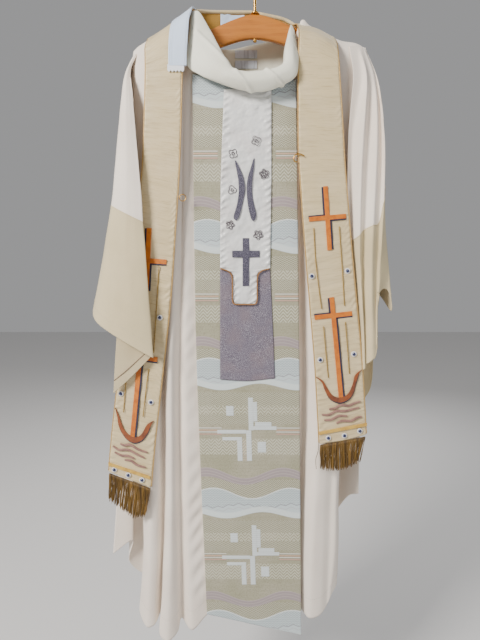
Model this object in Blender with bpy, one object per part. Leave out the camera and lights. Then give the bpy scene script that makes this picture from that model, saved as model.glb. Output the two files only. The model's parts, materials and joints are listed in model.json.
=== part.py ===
"""Chasuble and matching stole hung on a wooden vestment hanger.

Metres, +Z up.  The origin is the seat of the hook on its rail: the inside top of the brass hook.
+X is to the viewer's right, the front of the garment faces -Y.
Every cloth piece is a thin closed slab, so the garment stays hollow and open at neck, sides and hem.
"""

import math

import bmesh
import bpy
from mathutils import Matrix, Vector

for old_object in list(bpy.data.objects):
    bpy.data.objects.remove(old_object, do_unlink=True)

# ---------------------------------------------------------------- driving dimensions
HOOK_ROD_RADIUS = 0.0030
HOOK_BEND_RADIUS = 0.0200          # inside radius of the hook
WOOD_TOP = -0.0750                 # crown of the hanger, below the hook seat
WOOD_SLOPE = 0.46                  # fall of the hanger's shoulders
WOOD_HALF_LENGTH = 0.2260
WOOD_HEIGHT_MIDDLE = 0.0460
WOOD_HEIGHT_END = 0.0260

CLOTH_THICK = 0.0030               # body cloth and its lining
TRIM_THICK = 0.0022                # orphrey strips, satin and lamé patches
STOLE_THICK = 0.0018
LINING_THICK = 0.0012
PIPING_RADIUS = 0.0016

ORPHREY_FRONT_Y = -0.0545          # outside face of the front strip
ORPHREY_BACK_Y = 0.0570            # outside face of the back strip
PATCH_Y = -0.0575                  # outside face of satin and lamé
EMBROIDERY_ON_PATCH_Y = -0.0592
STOLE_Y = -0.0720                  # outside face of the hanging stole
STOLE_EMBROIDERY_Y = -0.0744
STOLE_PIVOT_Z = -0.1560            # line where the stole leaves the shoulder
STOLE_GAP = 0.0040                 # half the joint gap at that line


# ---------------------------------------------------------------- small geometry helpers
def finish_object(name, mesh_builder, material):
    """Turn a bmesh into one visible object with outward faces and one material."""
    bmesh.ops.remove_doubles(mesh_builder, verts=mesh_builder.verts, dist=1e-6)
    bmesh.ops.recalc_face_normals(mesh_builder, faces=mesh_builder.faces)
    mesh = bpy.data.meshes.new(name)
    mesh_builder.to_mesh(mesh)
    mesh_builder.free()
    mesh.materials.append(material)
    made = bpy.data.objects.new(name, mesh)
    bpy.context.scene.collection.objects.link(made)
    return made


def plain_material(name, colour, roughness=0.85, metallic=0.0):
    made = bpy.data.materials.new(name)
    made.diffuse_color = (*colour, 1.0)
    made.use_nodes = True
    shader = made.node_tree.nodes["Principled BSDF"]
    shader.inputs["Base Color"].default_value = (*colour, 1.0)
    shader.inputs["Roughness"].default_value = roughness
    shader.inputs["Metallic"].default_value = metallic
    return made


def between(points, position):
    """Smooth curve through points; position runs 0..1 over the whole list."""
    spans = len(points) - 1
    place = min(max(position, 0.0), 1.0) * spans
    index = min(int(place), spans - 1)
    part = place - index
    here = points[index]
    there = points[index + 1]
    before = points[index - 1] if index > 0 else here + (here - there)
    after = points[index + 2] if index + 2 <= spans else there + (there - here)
    square = part * part
    cube = square * part
    return (
        here * 2.0
        + (there - before) * part
        + (before * 2.0 - here * 5.0 + there * 4.0 - after) * square
        + (here * 3.0 - before - there * 3.0 + after) * cube
    ) * 0.5


def guide_grid(guides, across, down):
    """Rows of points on the smooth surface through the guide lines, each listed top to bottom."""
    lines = [[Vector(point) for point in guide] for guide in guides]
    rows = []
    for step in range(down + 1):
        crossing = [between(line, step / down) for line in lines]
        rows.append([between(crossing, place / across) for place in range(across + 1)])
    return rows


def slab(name, rows, thickness, material):
    """Closed thin solid: rows give its outside face, the inside face lies thickness behind it."""
    row_count = len(rows)
    column_count = len(rows[0])
    builder = bmesh.new()
    outside = []
    inside = []
    for i in range(row_count):
        outside_row = []
        inside_row = []
        for j in range(column_count):
            along = rows[i][min(j + 1, column_count - 1)] - rows[i][max(j - 1, 0)]
            fall = rows[min(i + 1, row_count - 1)][j] - rows[max(i - 1, 0)][j]
            inward = along.cross(fall).normalized()
            outside_row.append(builder.verts.new(rows[i][j]))
            inside_row.append(builder.verts.new(rows[i][j] + inward * thickness))
        outside.append(outside_row)
        inside.append(inside_row)
    for i in range(row_count - 1):
        for j in range(column_count - 1):
            builder.faces.new((outside[i][j], outside[i + 1][j], outside[i + 1][j + 1], outside[i][j + 1]))
            builder.faces.new((inside[i][j], inside[i][j + 1], inside[i + 1][j + 1], inside[i + 1][j]))
    rim = [(0, j) for j in range(column_count)]
    rim += [(i, column_count - 1) for i in range(1, row_count)]
    rim += [(row_count - 1, j) for j in range(column_count - 2, -1, -1)]
    rim += [(i, 0) for i in range(row_count - 2, 0, -1)]
    for (i, j), (k, m) in zip(rim, rim[1:] + rim[:1]):
        builder.faces.new((outside[i][j], outside[k][m], inside[k][m], inside[i][j]))
    return finish_object(name, builder, material)


def cloth(name, guides, across, down, material, thickness=CLOTH_THICK):
    return slab(name, guide_grid(guides, across, down), thickness, material)


def plate(name, outline, outside_y, thickness, material):
    """Flat piece facing -Y, cut to an (x, z) outline."""
    builder = bmesh.new()
    face = builder.faces.new([builder.verts.new((x, outside_y, z)) for x, z in outline])
    grown = bmesh.ops.extrude_face_region(builder, geom=[face])
    moved = [item for item in grown["geom"] if isinstance(item, bmesh.types.BMVert)]
    bmesh.ops.translate(builder, verts=moved, vec=(0.0, thickness, 0.0))
    return finish_object(name, builder, material)


def tube(name, path, radius, material, sides=8, closed=False):
    """Round rod along a path of points, with flat ends unless closed."""
    points = [Vector(point) for point in path]
    count = len(points)
    builder = bmesh.new()
    rings = []
    side_way = Vector((0.0, 1.0, 0.0))
    for i, point in enumerate(points):
        if closed:
            heading = (points[(i + 1) % count] - points[i - 1]).normalized()
        else:
            heading = (points[min(i + 1, count - 1)] - points[max(i - 1, 0)]).normalized()
        side_way = (side_way - heading * side_way.dot(heading)).normalized()
        other_way = heading.cross(side_way)
        ring = []
        for k in range(sides):
            turn = 2.0 * math.pi * k / sides
            ring.append(builder.verts.new(point + (side_way * math.cos(turn) + other_way * math.sin(turn)) * radius))
        rings.append(ring)
    last = count if closed else count - 1
    for i in range(last):
        one = rings[i]
        two = rings[(i + 1) % count]
        for k in range(sides):
            n = (k + 1) % sides
            builder.faces.new((one[k], one[n], two[n], two[k]))
    if not closed:
        builder.faces.new(rings[0])
        builder.faces.new(rings[-1])
    return finish_object(name, builder, material)


def turned(name, profile, centre, material, sides=20):
    """Solid of revolution about a vertical axis; profile is (radius, height) from top to bottom."""
    builder = bmesh.new()
    rings = []
    for radius, height in profile:
        ring = []
        for k in range(sides):
            turn = 2.0 * math.pi * k / sides
            ring.append(builder.verts.new(
                (centre[0] + radius * math.cos(turn), centre[1] + radius * math.sin(turn), centre[2] + height)))
        rings.append(ring)
    for one, two in zip(rings, rings[1:]):
        for k in range(sides):
            n = (k + 1) % sides
            builder.faces.new((one[k], one[n], two[n], two[k]))
    builder.faces.new(rings[0])
    builder.faces.new(rings[-1])
    return finish_object(name, builder, material)


def bead(name, x, z, material):
    """Small flattened bead sewn to the stole."""
    builder = bmesh.new()
    bmesh.ops.create_uvsphere(builder, u_segments=8, v_segments=5, radius=0.0042)
    bmesh.ops.scale(builder, vec=(1.0, 0.6, 1.0), verts=builder.verts)
    bmesh.ops.translate(builder, vec=(x, STOLE_Y - 0.0030, z), verts=builder.verts)
    return finish_object(name, builder, material)


def tilted(outline, centre, tilt_degrees):
    """Turn a local (x, z) outline by the tilt and carry it to its centre."""
    turn = math.radians(tilt_degrees)
    return [
        (centre[0] + x * math.cos(turn) - z * math.sin(turn), centre[1] + x * math.sin(turn) + z * math.cos(turn))
        for x, z in outline
    ]


# ---------------------------------------------------------------- materials
ivory = plain_material("chasuble_cloth", (0.85, 0.82, 0.77))
cream = plain_material("collar_cloth", (0.80, 0.78, 0.70))
band_cream = plain_material("band_cloth", (0.78, 0.72, 0.58))
woven = plain_material("orphrey_weave", (0.60, 0.56, 0.45))
satin = plain_material("satin", (0.82, 0.84, 0.84), 0.35)
lame = plain_material("lame", (0.35, 0.31, 0.35), 0.45, 0.5)
glitter = plain_material("glitter", (0.22, 0.21, 0.23), 0.4, 0.5)
silk = plain_material("stole_silk", (0.66, 0.58, 0.42), 0.5)
mustard = plain_material("stole_lining", (0.50, 0.34, 0.14))
gold_piping = plain_material("gold_piping", (0.60, 0.44, 0.20), 0.5)
brown_cord = plain_material("cord", (0.40, 0.22, 0.10))
cotton = plain_material("guard_cotton", (0.68, 0.74, 0.84))
orange = plain_material("orange_embroidery", (0.60, 0.22, 0.05))
braid = plain_material("gold_braid", (0.66, 0.46, 0.16))
bronze = plain_material("fringe_thread", (0.28, 0.18, 0.06))
navy = plain_material("bead_glaze", (0.03, 0.04, 0.10), 0.25)
label_weave = plain_material("label_weave", (0.55, 0.55, 0.56))
wood = plain_material("hanger_wood", (0.60, 0.36, 0.15), 0.45)
brass = plain_material("brass", (0.70, 0.50, 0.18), 0.3, 1.0)


# ---------------------------------------------------------------- hanger: hook, ferrule, rivet, yoke
def wood_top(x):
    return WOOD_TOP - WOOD_SLOPE * (math.sqrt(x * x + 0.03 * 0.03) - 0.03)


bend = HOOK_BEND_RADIUS + HOOK_ROD_RADIUS
bend_centre_z = HOOK_ROD_RADIUS - bend
hook_path = []
for step in range(17):
    angle = math.radians(-20.0 + 200.0 * step / 16)
    hook_path.append((-bend * math.cos(angle), 0.0, bend_centre_z + bend * math.sin(angle)))
for x, z in ((0.0215, -0.0290), (0.0165, -0.0365), (0.0085, -0.0425), (0.0025, -0.0480), (0.0, -0.0550)):
    hook_path.append((x, 0.0, z))
for z in (-0.0640, -0.0900, -0.1240):
    hook_path.append((0.0, 0.0, z))
tube("hook", hook_path, HOOK_ROD_RADIUS, brass, sides=10)

ferrule = turned("hook_ferrule", [(0.0050, 0.0), (0.0062, -0.0010), (0.0062, -0.0030), (0.0092, -0.0042),
                                  (0.0092, -0.0056)], (0.0, 0.0, WOOD_TOP + 0.0062), brass)
shank_bore = turned("shank_bore", [(HOOK_ROD_RADIUS + 0.0004, 0.02), (HOOK_ROD_RADIUS + 0.0004, -0.08)],
                    (0.0, 0.0, WOOD_TOP), brass)
shank_bore.hide_render = True
shank_bore.display_type = "WIRE"


def bore_for_shank(pierced):
    """Cut the hook shank's clearance hole through a piece."""
    cut = pierced.modifiers.new("shank_hole", "BOOLEAN")
    cut.operation = "DIFFERENCE"
    cut.solver = "EXACT"
    cut.object = shank_bore


bore_for_shank(ferrule)

rivet = turned("hook_rivet", [(0.0080, 0.0), (0.0080, -0.0014), (0.0048, -0.0036), (0.0030, -0.0040)],
               (0.0, 0.0, -0.1244), brass)

yoke_builder = bmesh.new()
yoke_rings = []
for station in range(25):
    reach = station / 12.0 - 1.0
    x = WOOD_HALF_LENGTH * reach
    height = WOOD_HEIGHT_MIDDLE + (WOOD_HEIGHT_END - WOOD_HEIGHT_MIDDLE) * abs(reach)
    half_width = 0.0070 + 0.0030 * abs(reach)
    blunt = min(1.0, (1.0 - abs(reach)) / 0.05 + 0.35) ** 0.5
    middle = wood_top(x) - height / 2
    ring = []
    for k in range(12):
        turn = 2.0 * math.pi * (k + 0.5) / 12
        across = math.copysign(abs(math.cos(turn)) ** 0.6, math.cos(turn))
        up = math.copysign(abs(math.sin(turn)) ** 0.6, math.sin(turn))
        ring.append(yoke_builder.verts.new((x, half_width * across * blunt, middle + height / 2 * up * blunt)))
    yoke_rings.append(ring)
for one, two in zip(yoke_rings, yoke_rings[1:]):
    for k in range(12):
        n = (k + 1) % 12
        yoke_builder.faces.new((one[k], one[n], two[n], two[k]))
yoke_builder.faces.new(yoke_rings[0])
yoke_builder.faces.new(yoke_rings[-1])
yoke = finish_object("hanger_yoke", yoke_builder, wood)
bore_for_shank(yoke)

# ---------------------------------------------------------------- chasuble body: two half fronts, two half backs
FRONT_LEFT = [
    [(-0.2400, -0.005, -0.160), (-0.2430, -0.022, -0.176), (-0.249, -0.034, -0.26), (-0.255, -0.030, -0.60),
     (-0.264, -0.030, -0.95), (-0.252, -0.020, -1.284)],
    [(-0.2050, -0.005, -0.130), (-0.2070, -0.028, -0.144), (-0.212, -0.048, -0.23), (-0.222, -0.052, -0.60),
     (-0.228, -0.050, -0.95), (-0.236, -0.046, -1.330)],
    [(-0.1680, -0.005, -0.109), (-0.1690, -0.030, -0.124), (-0.170, -0.050, -0.22), (-0.178, -0.052, -0.60),
     (-0.192, -0.054, -0.95), (-0.208, -0.058, -1.340)],
    [(-0.1320, -0.005, -0.092), (-0.1330, -0.030, -0.112), (-0.138, -0.049, -0.22), (-0.148, -0.048, -0.60),
     (-0.160, -0.044, -0.95), (-0.181, -0.038, -1.330)],
    [(-0.1250, -0.045, -0.140), (-0.1250, -0.047, -0.180), (-0.128, -0.050, -0.26), (-0.134, -0.052, -0.60),
     (-0.143, -0.056, -0.95), (-0.160, -0.058, -1.360)],
    [(-0.1000, -0.046, -0.170), (-0.1040, -0.047, -0.210), (-0.110, -0.048, -0.28), (-0.122, -0.046, -0.60),
     (-0.129, -0.043, -0.95), (-0.141, -0.038, -1.330)],
    [(-0.0750, -0.046, -0.192), (-0.0800, -0.047, -0.230), (-0.090, -0.048, -0.30), (-0.108, -0.048, -0.60),
     (-0.118, -0.050, -0.95), (-0.119, -0.053, -1.318)],
    [(-0.0450, -0.046, -0.211), (-0.0500, -0.047, -0.250), (-0.060, -0.048, -0.32), (-0.080, -0.048, -0.60),
     (-0.090, -0.047, -0.95), (-0.090, -0.047, -1.312)],
    [(-0.0125, -0.046, -0.222), (-0.0125, -0.047, -0.262), (-0.0125, -0.048, -0.34), (-0.0125, -0.048, -0.60),
     (-0.0125, -0.048, -0.95), (-0.0125, -0.048, -1.325)],
]
FRONT_RIGHT = [
    [(-0.0105, -0.046, -0.222), (-0.0105, -0.047, -0.262), (-0.0105, -0.048, -0.34), (-0.0105, -0.048, -0.60),
     (-0.0105, -0.048, -0.95), (-0.0105, -0.048, -1.325)],
    [(0.0350, -0.046, -0.212), (0.0400, -0.047, -0.250), (0.050, -0.048, -0.32), (0.058, -0.048, -0.60),
     (0.062, -0.048, -0.95), (0.062, -0.048, -1.340)],
    [(0.0620, -0.046, -0.180), (0.0660, -0.047, -0.220), (0.076, -0.048, -0.29), (0.090, -0.046, -0.60),
     (0.096, -0.045, -0.95), (0.104, -0.043, -1.345)],
    [(0.0740, -0.046, -0.145), (0.0770, -0.047, -0.185), (0.088, -0.048, -0.26), (0.106, -0.041, -0.60),
     (0.114, -0.037, -0.95), (0.122, -0.034, -1.328)],
    [(0.0880, -0.005, -0.095), (0.0900, -0.030, -0.111), (0.102, -0.049, -0.22), (0.130, -0.052, -0.60),
     (0.140, -0.052, -0.95), (0.148, -0.052, -1.330)],
    [(0.1200, -0.005, -0.110), (0.1230, -0.030, -0.125), (0.134, -0.050, -0.23), (0.164, -0.051, -0.60),
     (0.170, -0.046, -0.95), (0.172, -0.036, -1.322)],
    [(0.1570, -0.005, -0.128), (0.1600, -0.028, -0.141), (0.172, -0.048, -0.24), (0.200, -0.048, -0.60),
     (0.184, -0.040, -0.95), (0.181, -0.032, -1.292)],
    [(0.2200, -0.005, -0.155), (0.2230, -0.022, -0.168), (0.229, -0.032, -0.26), (0.231, -0.028, -0.60),
     (0.200, -0.014, -0.95), (0.190, -0.010, -1.250)],
]
BACK_LEFT = [
    [(-0.0125, 0.049, -0.113), (-0.0125, 0.050, -0.150), (-0.0125, 0.050, -0.26), (-0.0125, 0.050, -0.60),
     (-0.0125, 0.050, -0.95), (-0.0125, 0.050, -1.300)],
    [(-0.0600, 0.049, -0.110), (-0.0620, 0.050, -0.148), (-0.070, 0.050, -0.26), (-0.086, 0.050, -0.60),
     (-0.092, 0.049, -0.95), (-0.092, 0.048, -1.300)],
    [(-0.1050, 0.046, -0.104), (-0.1070, 0.050, -0.140), (-0.114, 0.050, -0.25), (-0.126, 0.050, -0.60),
     (-0.136, 0.052, -0.95), (-0.140, 0.053, -1.300)],
    [(-0.1320, 0.005, -0.092), (-0.1330, 0.030, -0.112), (-0.140, 0.049, -0.22), (-0.160, 0.048, -0.60),
     (-0.172, 0.044, -0.95), (-0.182, 0.040, -1.290)],
    [(-0.1680, 0.005, -0.109), (-0.1690, 0.030, -0.124), (-0.176, 0.048, -0.22), (-0.196, 0.049, -0.60),
     (-0.214, 0.052, -0.95), (-0.226, 0.058, -1.278)],
    [(-0.2050, 0.005, -0.130), (-0.2070, 0.028, -0.144), (-0.214, 0.045, -0.23), (-0.236, 0.046, -0.60),
     (-0.262, 0.040, -0.95), (-0.272, 0.036, -1.250)],
    [(-0.2400, 0.005, -0.160), (-0.2430, 0.022, -0.176), (-0.249, 0.032, -0.26), (-0.257, 0.028, -0.60),
     (-0.292, 0.012, -0.95), (-0.313, 0.004, -1.212)],
]
BACK_RIGHT = [
    [(0.2200, 0.005, -0.155), (0.2230, 0.022, -0.168), (0.229, 0.032, -0.26), (0.231, 0.030, -0.55),
     (0.234, 0.022, -0.82), (0.231, 0.014, -1.055)],
    [(0.1570, 0.005, -0.128), (0.1600, 0.028, -0.141), (0.172, 0.046, -0.24), (0.200, 0.046, -0.56),
     (0.200, 0.050, -0.86), (0.196, 0.054, -1.110)],
    [(0.1200, 0.005, -0.110), (0.1230, 0.030, -0.125), (0.134, 0.049, -0.23), (0.158, 0.048, -0.58),
     (0.160, 0.044, -0.90), (0.158, 0.040, -1.190)],
    [(0.0880, 0.005, -0.095), (0.0900, 0.030, -0.111), (0.100, 0.050, -0.22), (0.118, 0.050, -0.60),
     (0.122, 0.054, -0.94), (0.122, 0.058, -1.262)],
    [(0.0700, 0.046, -0.108), (0.0730, 0.050, -0.140), (0.076, 0.050, -0.25), (0.084, 0.050, -0.60),
     (0.086, 0.049, -0.95), (0.086, 0.048, -1.290)],
    [(0.0300, 0.049, -0.112), (0.0320, 0.050, -0.150), (0.034, 0.050, -0.26), (0.040, 0.050, -0.60),
     (0.042, 0.050, -0.95), (0.042, 0.050, -1.300)],
    [(-0.0105, 0.049, -0.113), (-0.0105, 0.050, -0.150), (-0.0105, 0.050, -0.26), (-0.0105, 0.050, -0.60),
     (-0.0105, 0.050, -0.95), (-0.0105, 0.050, -1.300)],
]
cloth("chasuble_front_left", FRONT_LEFT, 16, 10, ivory)
cloth("chasuble_front_right", FRONT_RIGHT, 14, 10, ivory)
cloth("chasuble_back_left", BACK_LEFT, 12, 8, ivory)
cloth("chasuble_back_right", BACK_RIGHT, 12, 8, ivory)

# ---------------------------------------------------------------- orphrey strips over the centre seams
cloth("front_orphrey", [
    [(-0.119, ORPHREY_FRONT_Y, -0.218), (-0.118, ORPHREY_FRONT_Y, -0.740), (-0.101, ORPHREY_FRONT_Y, -1.311)],
    [(-0.018, ORPHREY_FRONT_Y, -0.230), (-0.014, ORPHREY_FRONT_Y, -0.740), (0.001, ORPHREY_FRONT_Y, -1.338)],
    [(0.078, ORPHREY_FRONT_Y, -0.222), (0.090, ORPHREY_FRONT_Y, -0.740), (0.103, ORPHREY_FRONT_Y, -1.362)],
], 4, 6, woven, TRIM_THICK)
cloth("back_orphrey", [
    [(0.090, ORPHREY_BACK_Y, -0.176), (0.092, ORPHREY_BACK_Y, -0.740), (0.094, ORPHREY_BACK_Y, -1.305)],
    [(-0.012, ORPHREY_BACK_Y, -0.176), (-0.012, ORPHREY_BACK_Y, -0.740), (-0.012, ORPHREY_BACK_Y, -1.310)],
    [(-0.112, ORPHREY_BACK_Y, -0.176), (-0.114, ORPHREY_BACK_Y, -0.740), (-0.116, ORPHREY_BACK_Y, -1.305)],
], 4, 6, woven, TRIM_THICK)

# ---------------------------------------------------------------- satin and lamé patches with their embroidery
plate("satin_panel", [
    (-0.0600, -0.234), (0.0300, -0.234), (0.0310, -0.400), (0.0300, -0.571), (0.0060, -0.578), (0.0035, -0.586),
    (0.0035, -0.640), (-0.0435, -0.642), (-0.0435, -0.586), (-0.0460, -0.578), (-0.0690, -0.571),
    (-0.0650, -0.400),
], PATCH_Y, 0.0016, satin)
plate("lame_panel", [
    (-0.0690, -0.5730), (-0.0480, -0.5800), (-0.0462, -0.5880), (-0.0462, -0.6452), (0.0062, -0.6432),
    (0.0062, -0.5880), (0.0080, -0.5800), (0.0300, -0.5730), (0.0360, -0.680), (0.0420, -0.794),
    (-0.0140, -0.800), (-0.0700, -0.796), (-0.0700, -0.680),
], PATCH_Y, 0.0016, lame)
tube("tab_cord", [
    (-0.0660, -0.0598, -0.5740), (-0.0530, -0.0598, -0.5780), (-0.0465, -0.0598, -0.5840),
    (-0.0450, -0.0598, -0.5950), (-0.0450, -0.0598, -0.6350), (-0.0400, -0.0598, -0.6420),
    (-0.0200, -0.0598, -0.6430), (0.0000, -0.0598, -0.6420), (0.0050, -0.0598, -0.6350),
    (0.0050, -0.0598, -0.5950), (0.0070, -0.0598, -0.5840), (0.0140, -0.0598, -0.5780),
    (0.0270, -0.0598, -0.5740),
], 0.0016, brown_cord)


def cross_outline(height, bar_length, bar_drop, thickness):
    """Latin cross about its top middle: down is negative."""
    t = thickness / 2
    b = bar_length / 2
    top = -bar_drop + t
    low = -bar_drop - t
    return [(-t, 0), (-t, top), (-b, top), (-b, low), (-t, low), (-t, -height),
            (t, -height), (t, low), (b, low), (b, top), (t, top), (t, 0)]


plate("glitter_cross", tilted(cross_outline(0.094, 0.052, 0.031, 0.0130), (-0.0180, -0.513), 0.0),
      EMBROIDERY_ON_PATCH_Y, 0.0010, glitter)
for leaf_name, flip, leaf_x in (("leaf_left", -1.0, -0.0330), ("leaf_right", 1.0, -0.0120)):
    bow = [(-0.008, -0.371), (0.001, -0.398), (0.003, -0.424), (0.000, -0.450), (-0.007, -0.477)]
    inner_side = [(leaf_x - flip * (x + 0.0035), z) for x, z in bow]
    outer_side = [(leaf_x - flip * (x - 0.0035), z) for x, z in reversed(bow)]
    plate(leaf_name, inner_side + outer_side, EMBROIDERY_ON_PATCH_Y, 0.0010, glitter)

# ---------------------------------------------------------------- sleeves: side cloth over each shoulder end
# Guides run from the front edge round the outside to the back edge; the last span is the cuff band.
SLEEVE_LEFT = [
    [(-0.2330, -0.072, -0.190), (-0.2250, -0.088, -0.351), (-0.2160, -0.090, -0.484)],
    [(-0.2440, -0.058, -0.182), (-0.2480, -0.086, -0.351), (-0.2500, -0.088, -0.470)],
    [(-0.2540, -0.030, -0.174), (-0.2700, -0.052, -0.351), (-0.2860, -0.056, -0.450)],
    [(-0.2570, 0.000, -0.171), (-0.2740, 0.000, -0.351), (-0.2870, 0.000, -0.450)],
    [(-0.2510, 0.036, -0.176), (-0.2650, 0.048, -0.351), (-0.2760, 0.050, -0.462)],
    [(-0.2300, 0.056, -0.188), (-0.2360, 0.062, -0.351), (-0.2400, 0.064, -0.480)],
]
SLEEVE_BAND_LEFT = [
    [(-0.2158, -0.090, -0.488), (-0.2125, -0.094, -0.590), (-0.2030, -0.100, -0.734)],
    [(-0.2502, -0.088, -0.474), (-0.2580, -0.092, -0.580), (-0.2650, -0.094, -0.700)],
    [(-0.2864, -0.056, -0.454), (-0.3040, -0.060, -0.555), (-0.3230, -0.062, -0.660)],
    [(-0.2874, 0.000, -0.454), (-0.3070, 0.000, -0.555), (-0.3270, 0.000, -0.664)],
    [(-0.2762, 0.050, -0.466), (-0.2880, 0.052, -0.575), (-0.3000, 0.054, -0.700)],
    [(-0.2402, 0.064, -0.484), (-0.2440, 0.066, -0.590), (-0.2480, 0.068, -0.730)],
]
SLEEVE_RIGHT = [
    [(0.2100, 0.056, -0.188), (0.2150, 0.062, -0.340), (0.2200, 0.064, -0.504)],
    [(0.2310, 0.036, -0.176), (0.2420, 0.046, -0.340), (0.2525, 0.046, -0.430)],
    [(0.2370, 0.000, -0.171), (0.2500, 0.000, -0.340), (0.2570, 0.000, -0.406)],
    [(0.2340, -0.030, -0.174), (0.2470, -0.044, -0.340), (0.2545, -0.050, -0.408)],
    [(0.2200, -0.054, -0.180), (0.2270, -0.070, -0.340), (0.2330, -0.074, -0.480)],
    [(0.1900, -0.064, -0.190), (0.1960, -0.078, -0.340), (0.2000, -0.080, -0.512)],
]
SLEEVE_BAND_RIGHT = [
    [(0.2202, 0.064, -0.508), (0.2300, 0.058, -0.660), (0.2500, 0.036, -0.862)],
    [(0.2527, 0.046, -0.434), (0.2550, 0.044, -0.620), (0.2600, 0.026, -0.815)],
    [(0.2572, 0.000, -0.410), (0.2660, 0.000, -0.580), (0.2710, 0.000, -0.655)],
    [(0.2547, -0.050, -0.412), (0.2650, -0.050, -0.580), (0.2710, -0.052, -0.648)],
    [(0.2332, -0.074, -0.484), (0.2340, -0.077, -0.600), (0.2380, -0.079, -0.700)],
    [(0.2002, -0.080, -0.516), (0.2060, -0.082, -0.640), (0.2165, -0.082, -0.782)],
]
cloth("sleeve_left", [line[:] for line in reversed(SLEEVE_LEFT)], 10, 5, ivory)
cloth("sleeve_band_left", [line[:] for line in reversed(SLEEVE_BAND_LEFT)], 10, 4, band_cream)
cloth("sleeve_right", [line[:] for line in reversed(SLEEVE_RIGHT)], 10, 5, ivory)
cloth("sleeve_band_right", [line[:] for line in reversed(SLEEVE_BAND_RIGHT)], 10, 4, band_cream)

# The left cuff folds under along its front edge and shows its inner side below the hem.
cloth("sleeve_under_left", [
    [(-0.2640, -0.0815, -0.650), (-0.2700, -0.0815, -0.735), (-0.2790, -0.0815, -0.820)],
    [(-0.2400, -0.0820, -0.630), (-0.2410, -0.0820, -0.705), (-0.2430, -0.0820, -0.776)],
    [(-0.2140, -0.0820, -0.600), (-0.2100, -0.0820, -0.665), (-0.2070, -0.0820, -0.730)],
], 4, 3, band_cream, 0.0014)

# ---------------------------------------------------------------- collar, neck facing and blank labels
# Each collar guide runs from the rim at the neck out to the collar's lower edge.
cloth("collar", [
    [(-0.1120, -0.010, -0.086), (-0.1150, -0.010, -0.087), (-0.1180, -0.010, -0.089)],
    [(-0.0960, -0.052, -0.112), (-0.1090, -0.052, -0.124), (-0.1200, -0.050, -0.138)],
    [(-0.0720, -0.078, -0.160), (-0.0980, -0.078, -0.176), (-0.1220, -0.066, -0.193)],
    [(-0.0460, -0.090, -0.204), (-0.0600, -0.090, -0.222), (-0.0740, -0.072, -0.228)],
    [(-0.0020, -0.092, -0.205), (-0.0020, -0.090, -0.230), (-0.0020, -0.072, -0.249)],
    [(0.0360, -0.090, -0.202), (0.0420, -0.092, -0.222), (0.0460, -0.080, -0.236)],
    [(0.0520, -0.088, -0.190), (0.0640, -0.092, -0.202), (0.0720, -0.086, -0.212)],
    [(0.0570, -0.078, -0.150), (0.0660, -0.082, -0.158), (0.0740, -0.078, -0.166)],
    [(0.0650, -0.050, -0.114), (0.0690, -0.052, -0.120), (0.0730, -0.052, -0.126)],
    [(0.0690, -0.010, -0.093), (0.0710, -0.010, -0.094), (0.0730, -0.010, -0.096)],
], 20, 4, cream)
cloth("collar_back", [
    [(0.0620, 0.0560, -0.106), (0.0660, 0.0600, -0.130), (0.0700, 0.0585, -0.158)],
    [(-0.0100, 0.0560, -0.110), (-0.0100, 0.0600, -0.138), (-0.0100, 0.0585, -0.168)],
    [(-0.0980, 0.0560, -0.104), (-0.1010, 0.0600, -0.130), (-0.1040, 0.0585, -0.158)],
], 12, 3, cream)
cloth("neck_facing", [
    [(-0.0900, 0.0445, -0.112), (-0.0900, 0.0445, -0.175)],
    [(-0.0100, 0.0445, -0.116), (-0.0100, 0.0445, -0.185)],
    [(0.0520, 0.0445, -0.114), (0.0520, 0.0445, -0.175)],
], 4, 2, cream, 0.0012)
plate("label_upper", [(-0.0400, -0.1225), (0.0060, -0.1225), (0.0060, -0.1400), (-0.0400, -0.1400)],
      0.0425, 0.0010, label_weave)
plate("label_lower", [(-0.0390, -0.1415), (0.0050, -0.1415), (0.0050, -0.1590), (-0.0390, -0.1590)],
      0.0425, 0.0010, label_weave)

# ---------------------------------------------------------------- stole round the neck, with its cotton guard
# Guides cross the stole from its outer edge to its neck edge, from left front round the back to right front.
STOLE_NECK = [
    [(-0.2040, -0.0700, -0.1520), (-0.1700, -0.0705, -0.1520), (-0.1370, -0.0700, -0.1520)],
    [(-0.2080, -0.0480, -0.1340), (-0.1680, -0.0500, -0.1200), (-0.1310, -0.0500, -0.1060)],
    [(-0.2090, -0.0060, -0.1240), (-0.1670, -0.0080, -0.0980), (-0.1270, -0.0120, -0.0760)],
    [(-0.1980, 0.0420, -0.1340), (-0.1580, 0.0440, -0.1020), (-0.1200, 0.0340, -0.0600)],
    [(-0.1300, 0.0680, -0.1360), (-0.1100, 0.0650, -0.0920), (-0.0900, 0.0540, -0.0460)],
    [(-0.0100, 0.0720, -0.1280), (-0.0080, 0.0690, -0.0860), (-0.0060, 0.0640, -0.0440)],
    [(0.1050, 0.0700, -0.1320), (0.0850, 0.0670, -0.0960), (0.0600, 0.0560, -0.0580)],
    [(0.1520, 0.0460, -0.1320), (0.1160, 0.0480, -0.1060), (0.0810, 0.0400, -0.0760)],
    [(0.1580, -0.0060, -0.1210), (0.1180, -0.0080, -0.1010), (0.0820, -0.0120, -0.0850)],
    [(0.1550, -0.0500, -0.1340), (0.1160, -0.0540, -0.1200), (0.0830, -0.0550, -0.1080)],
    [(0.1510, -0.0700, -0.1520), (0.1140, -0.0705, -0.1520), (0.0800, -0.0700, -0.1520)],
]
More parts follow.
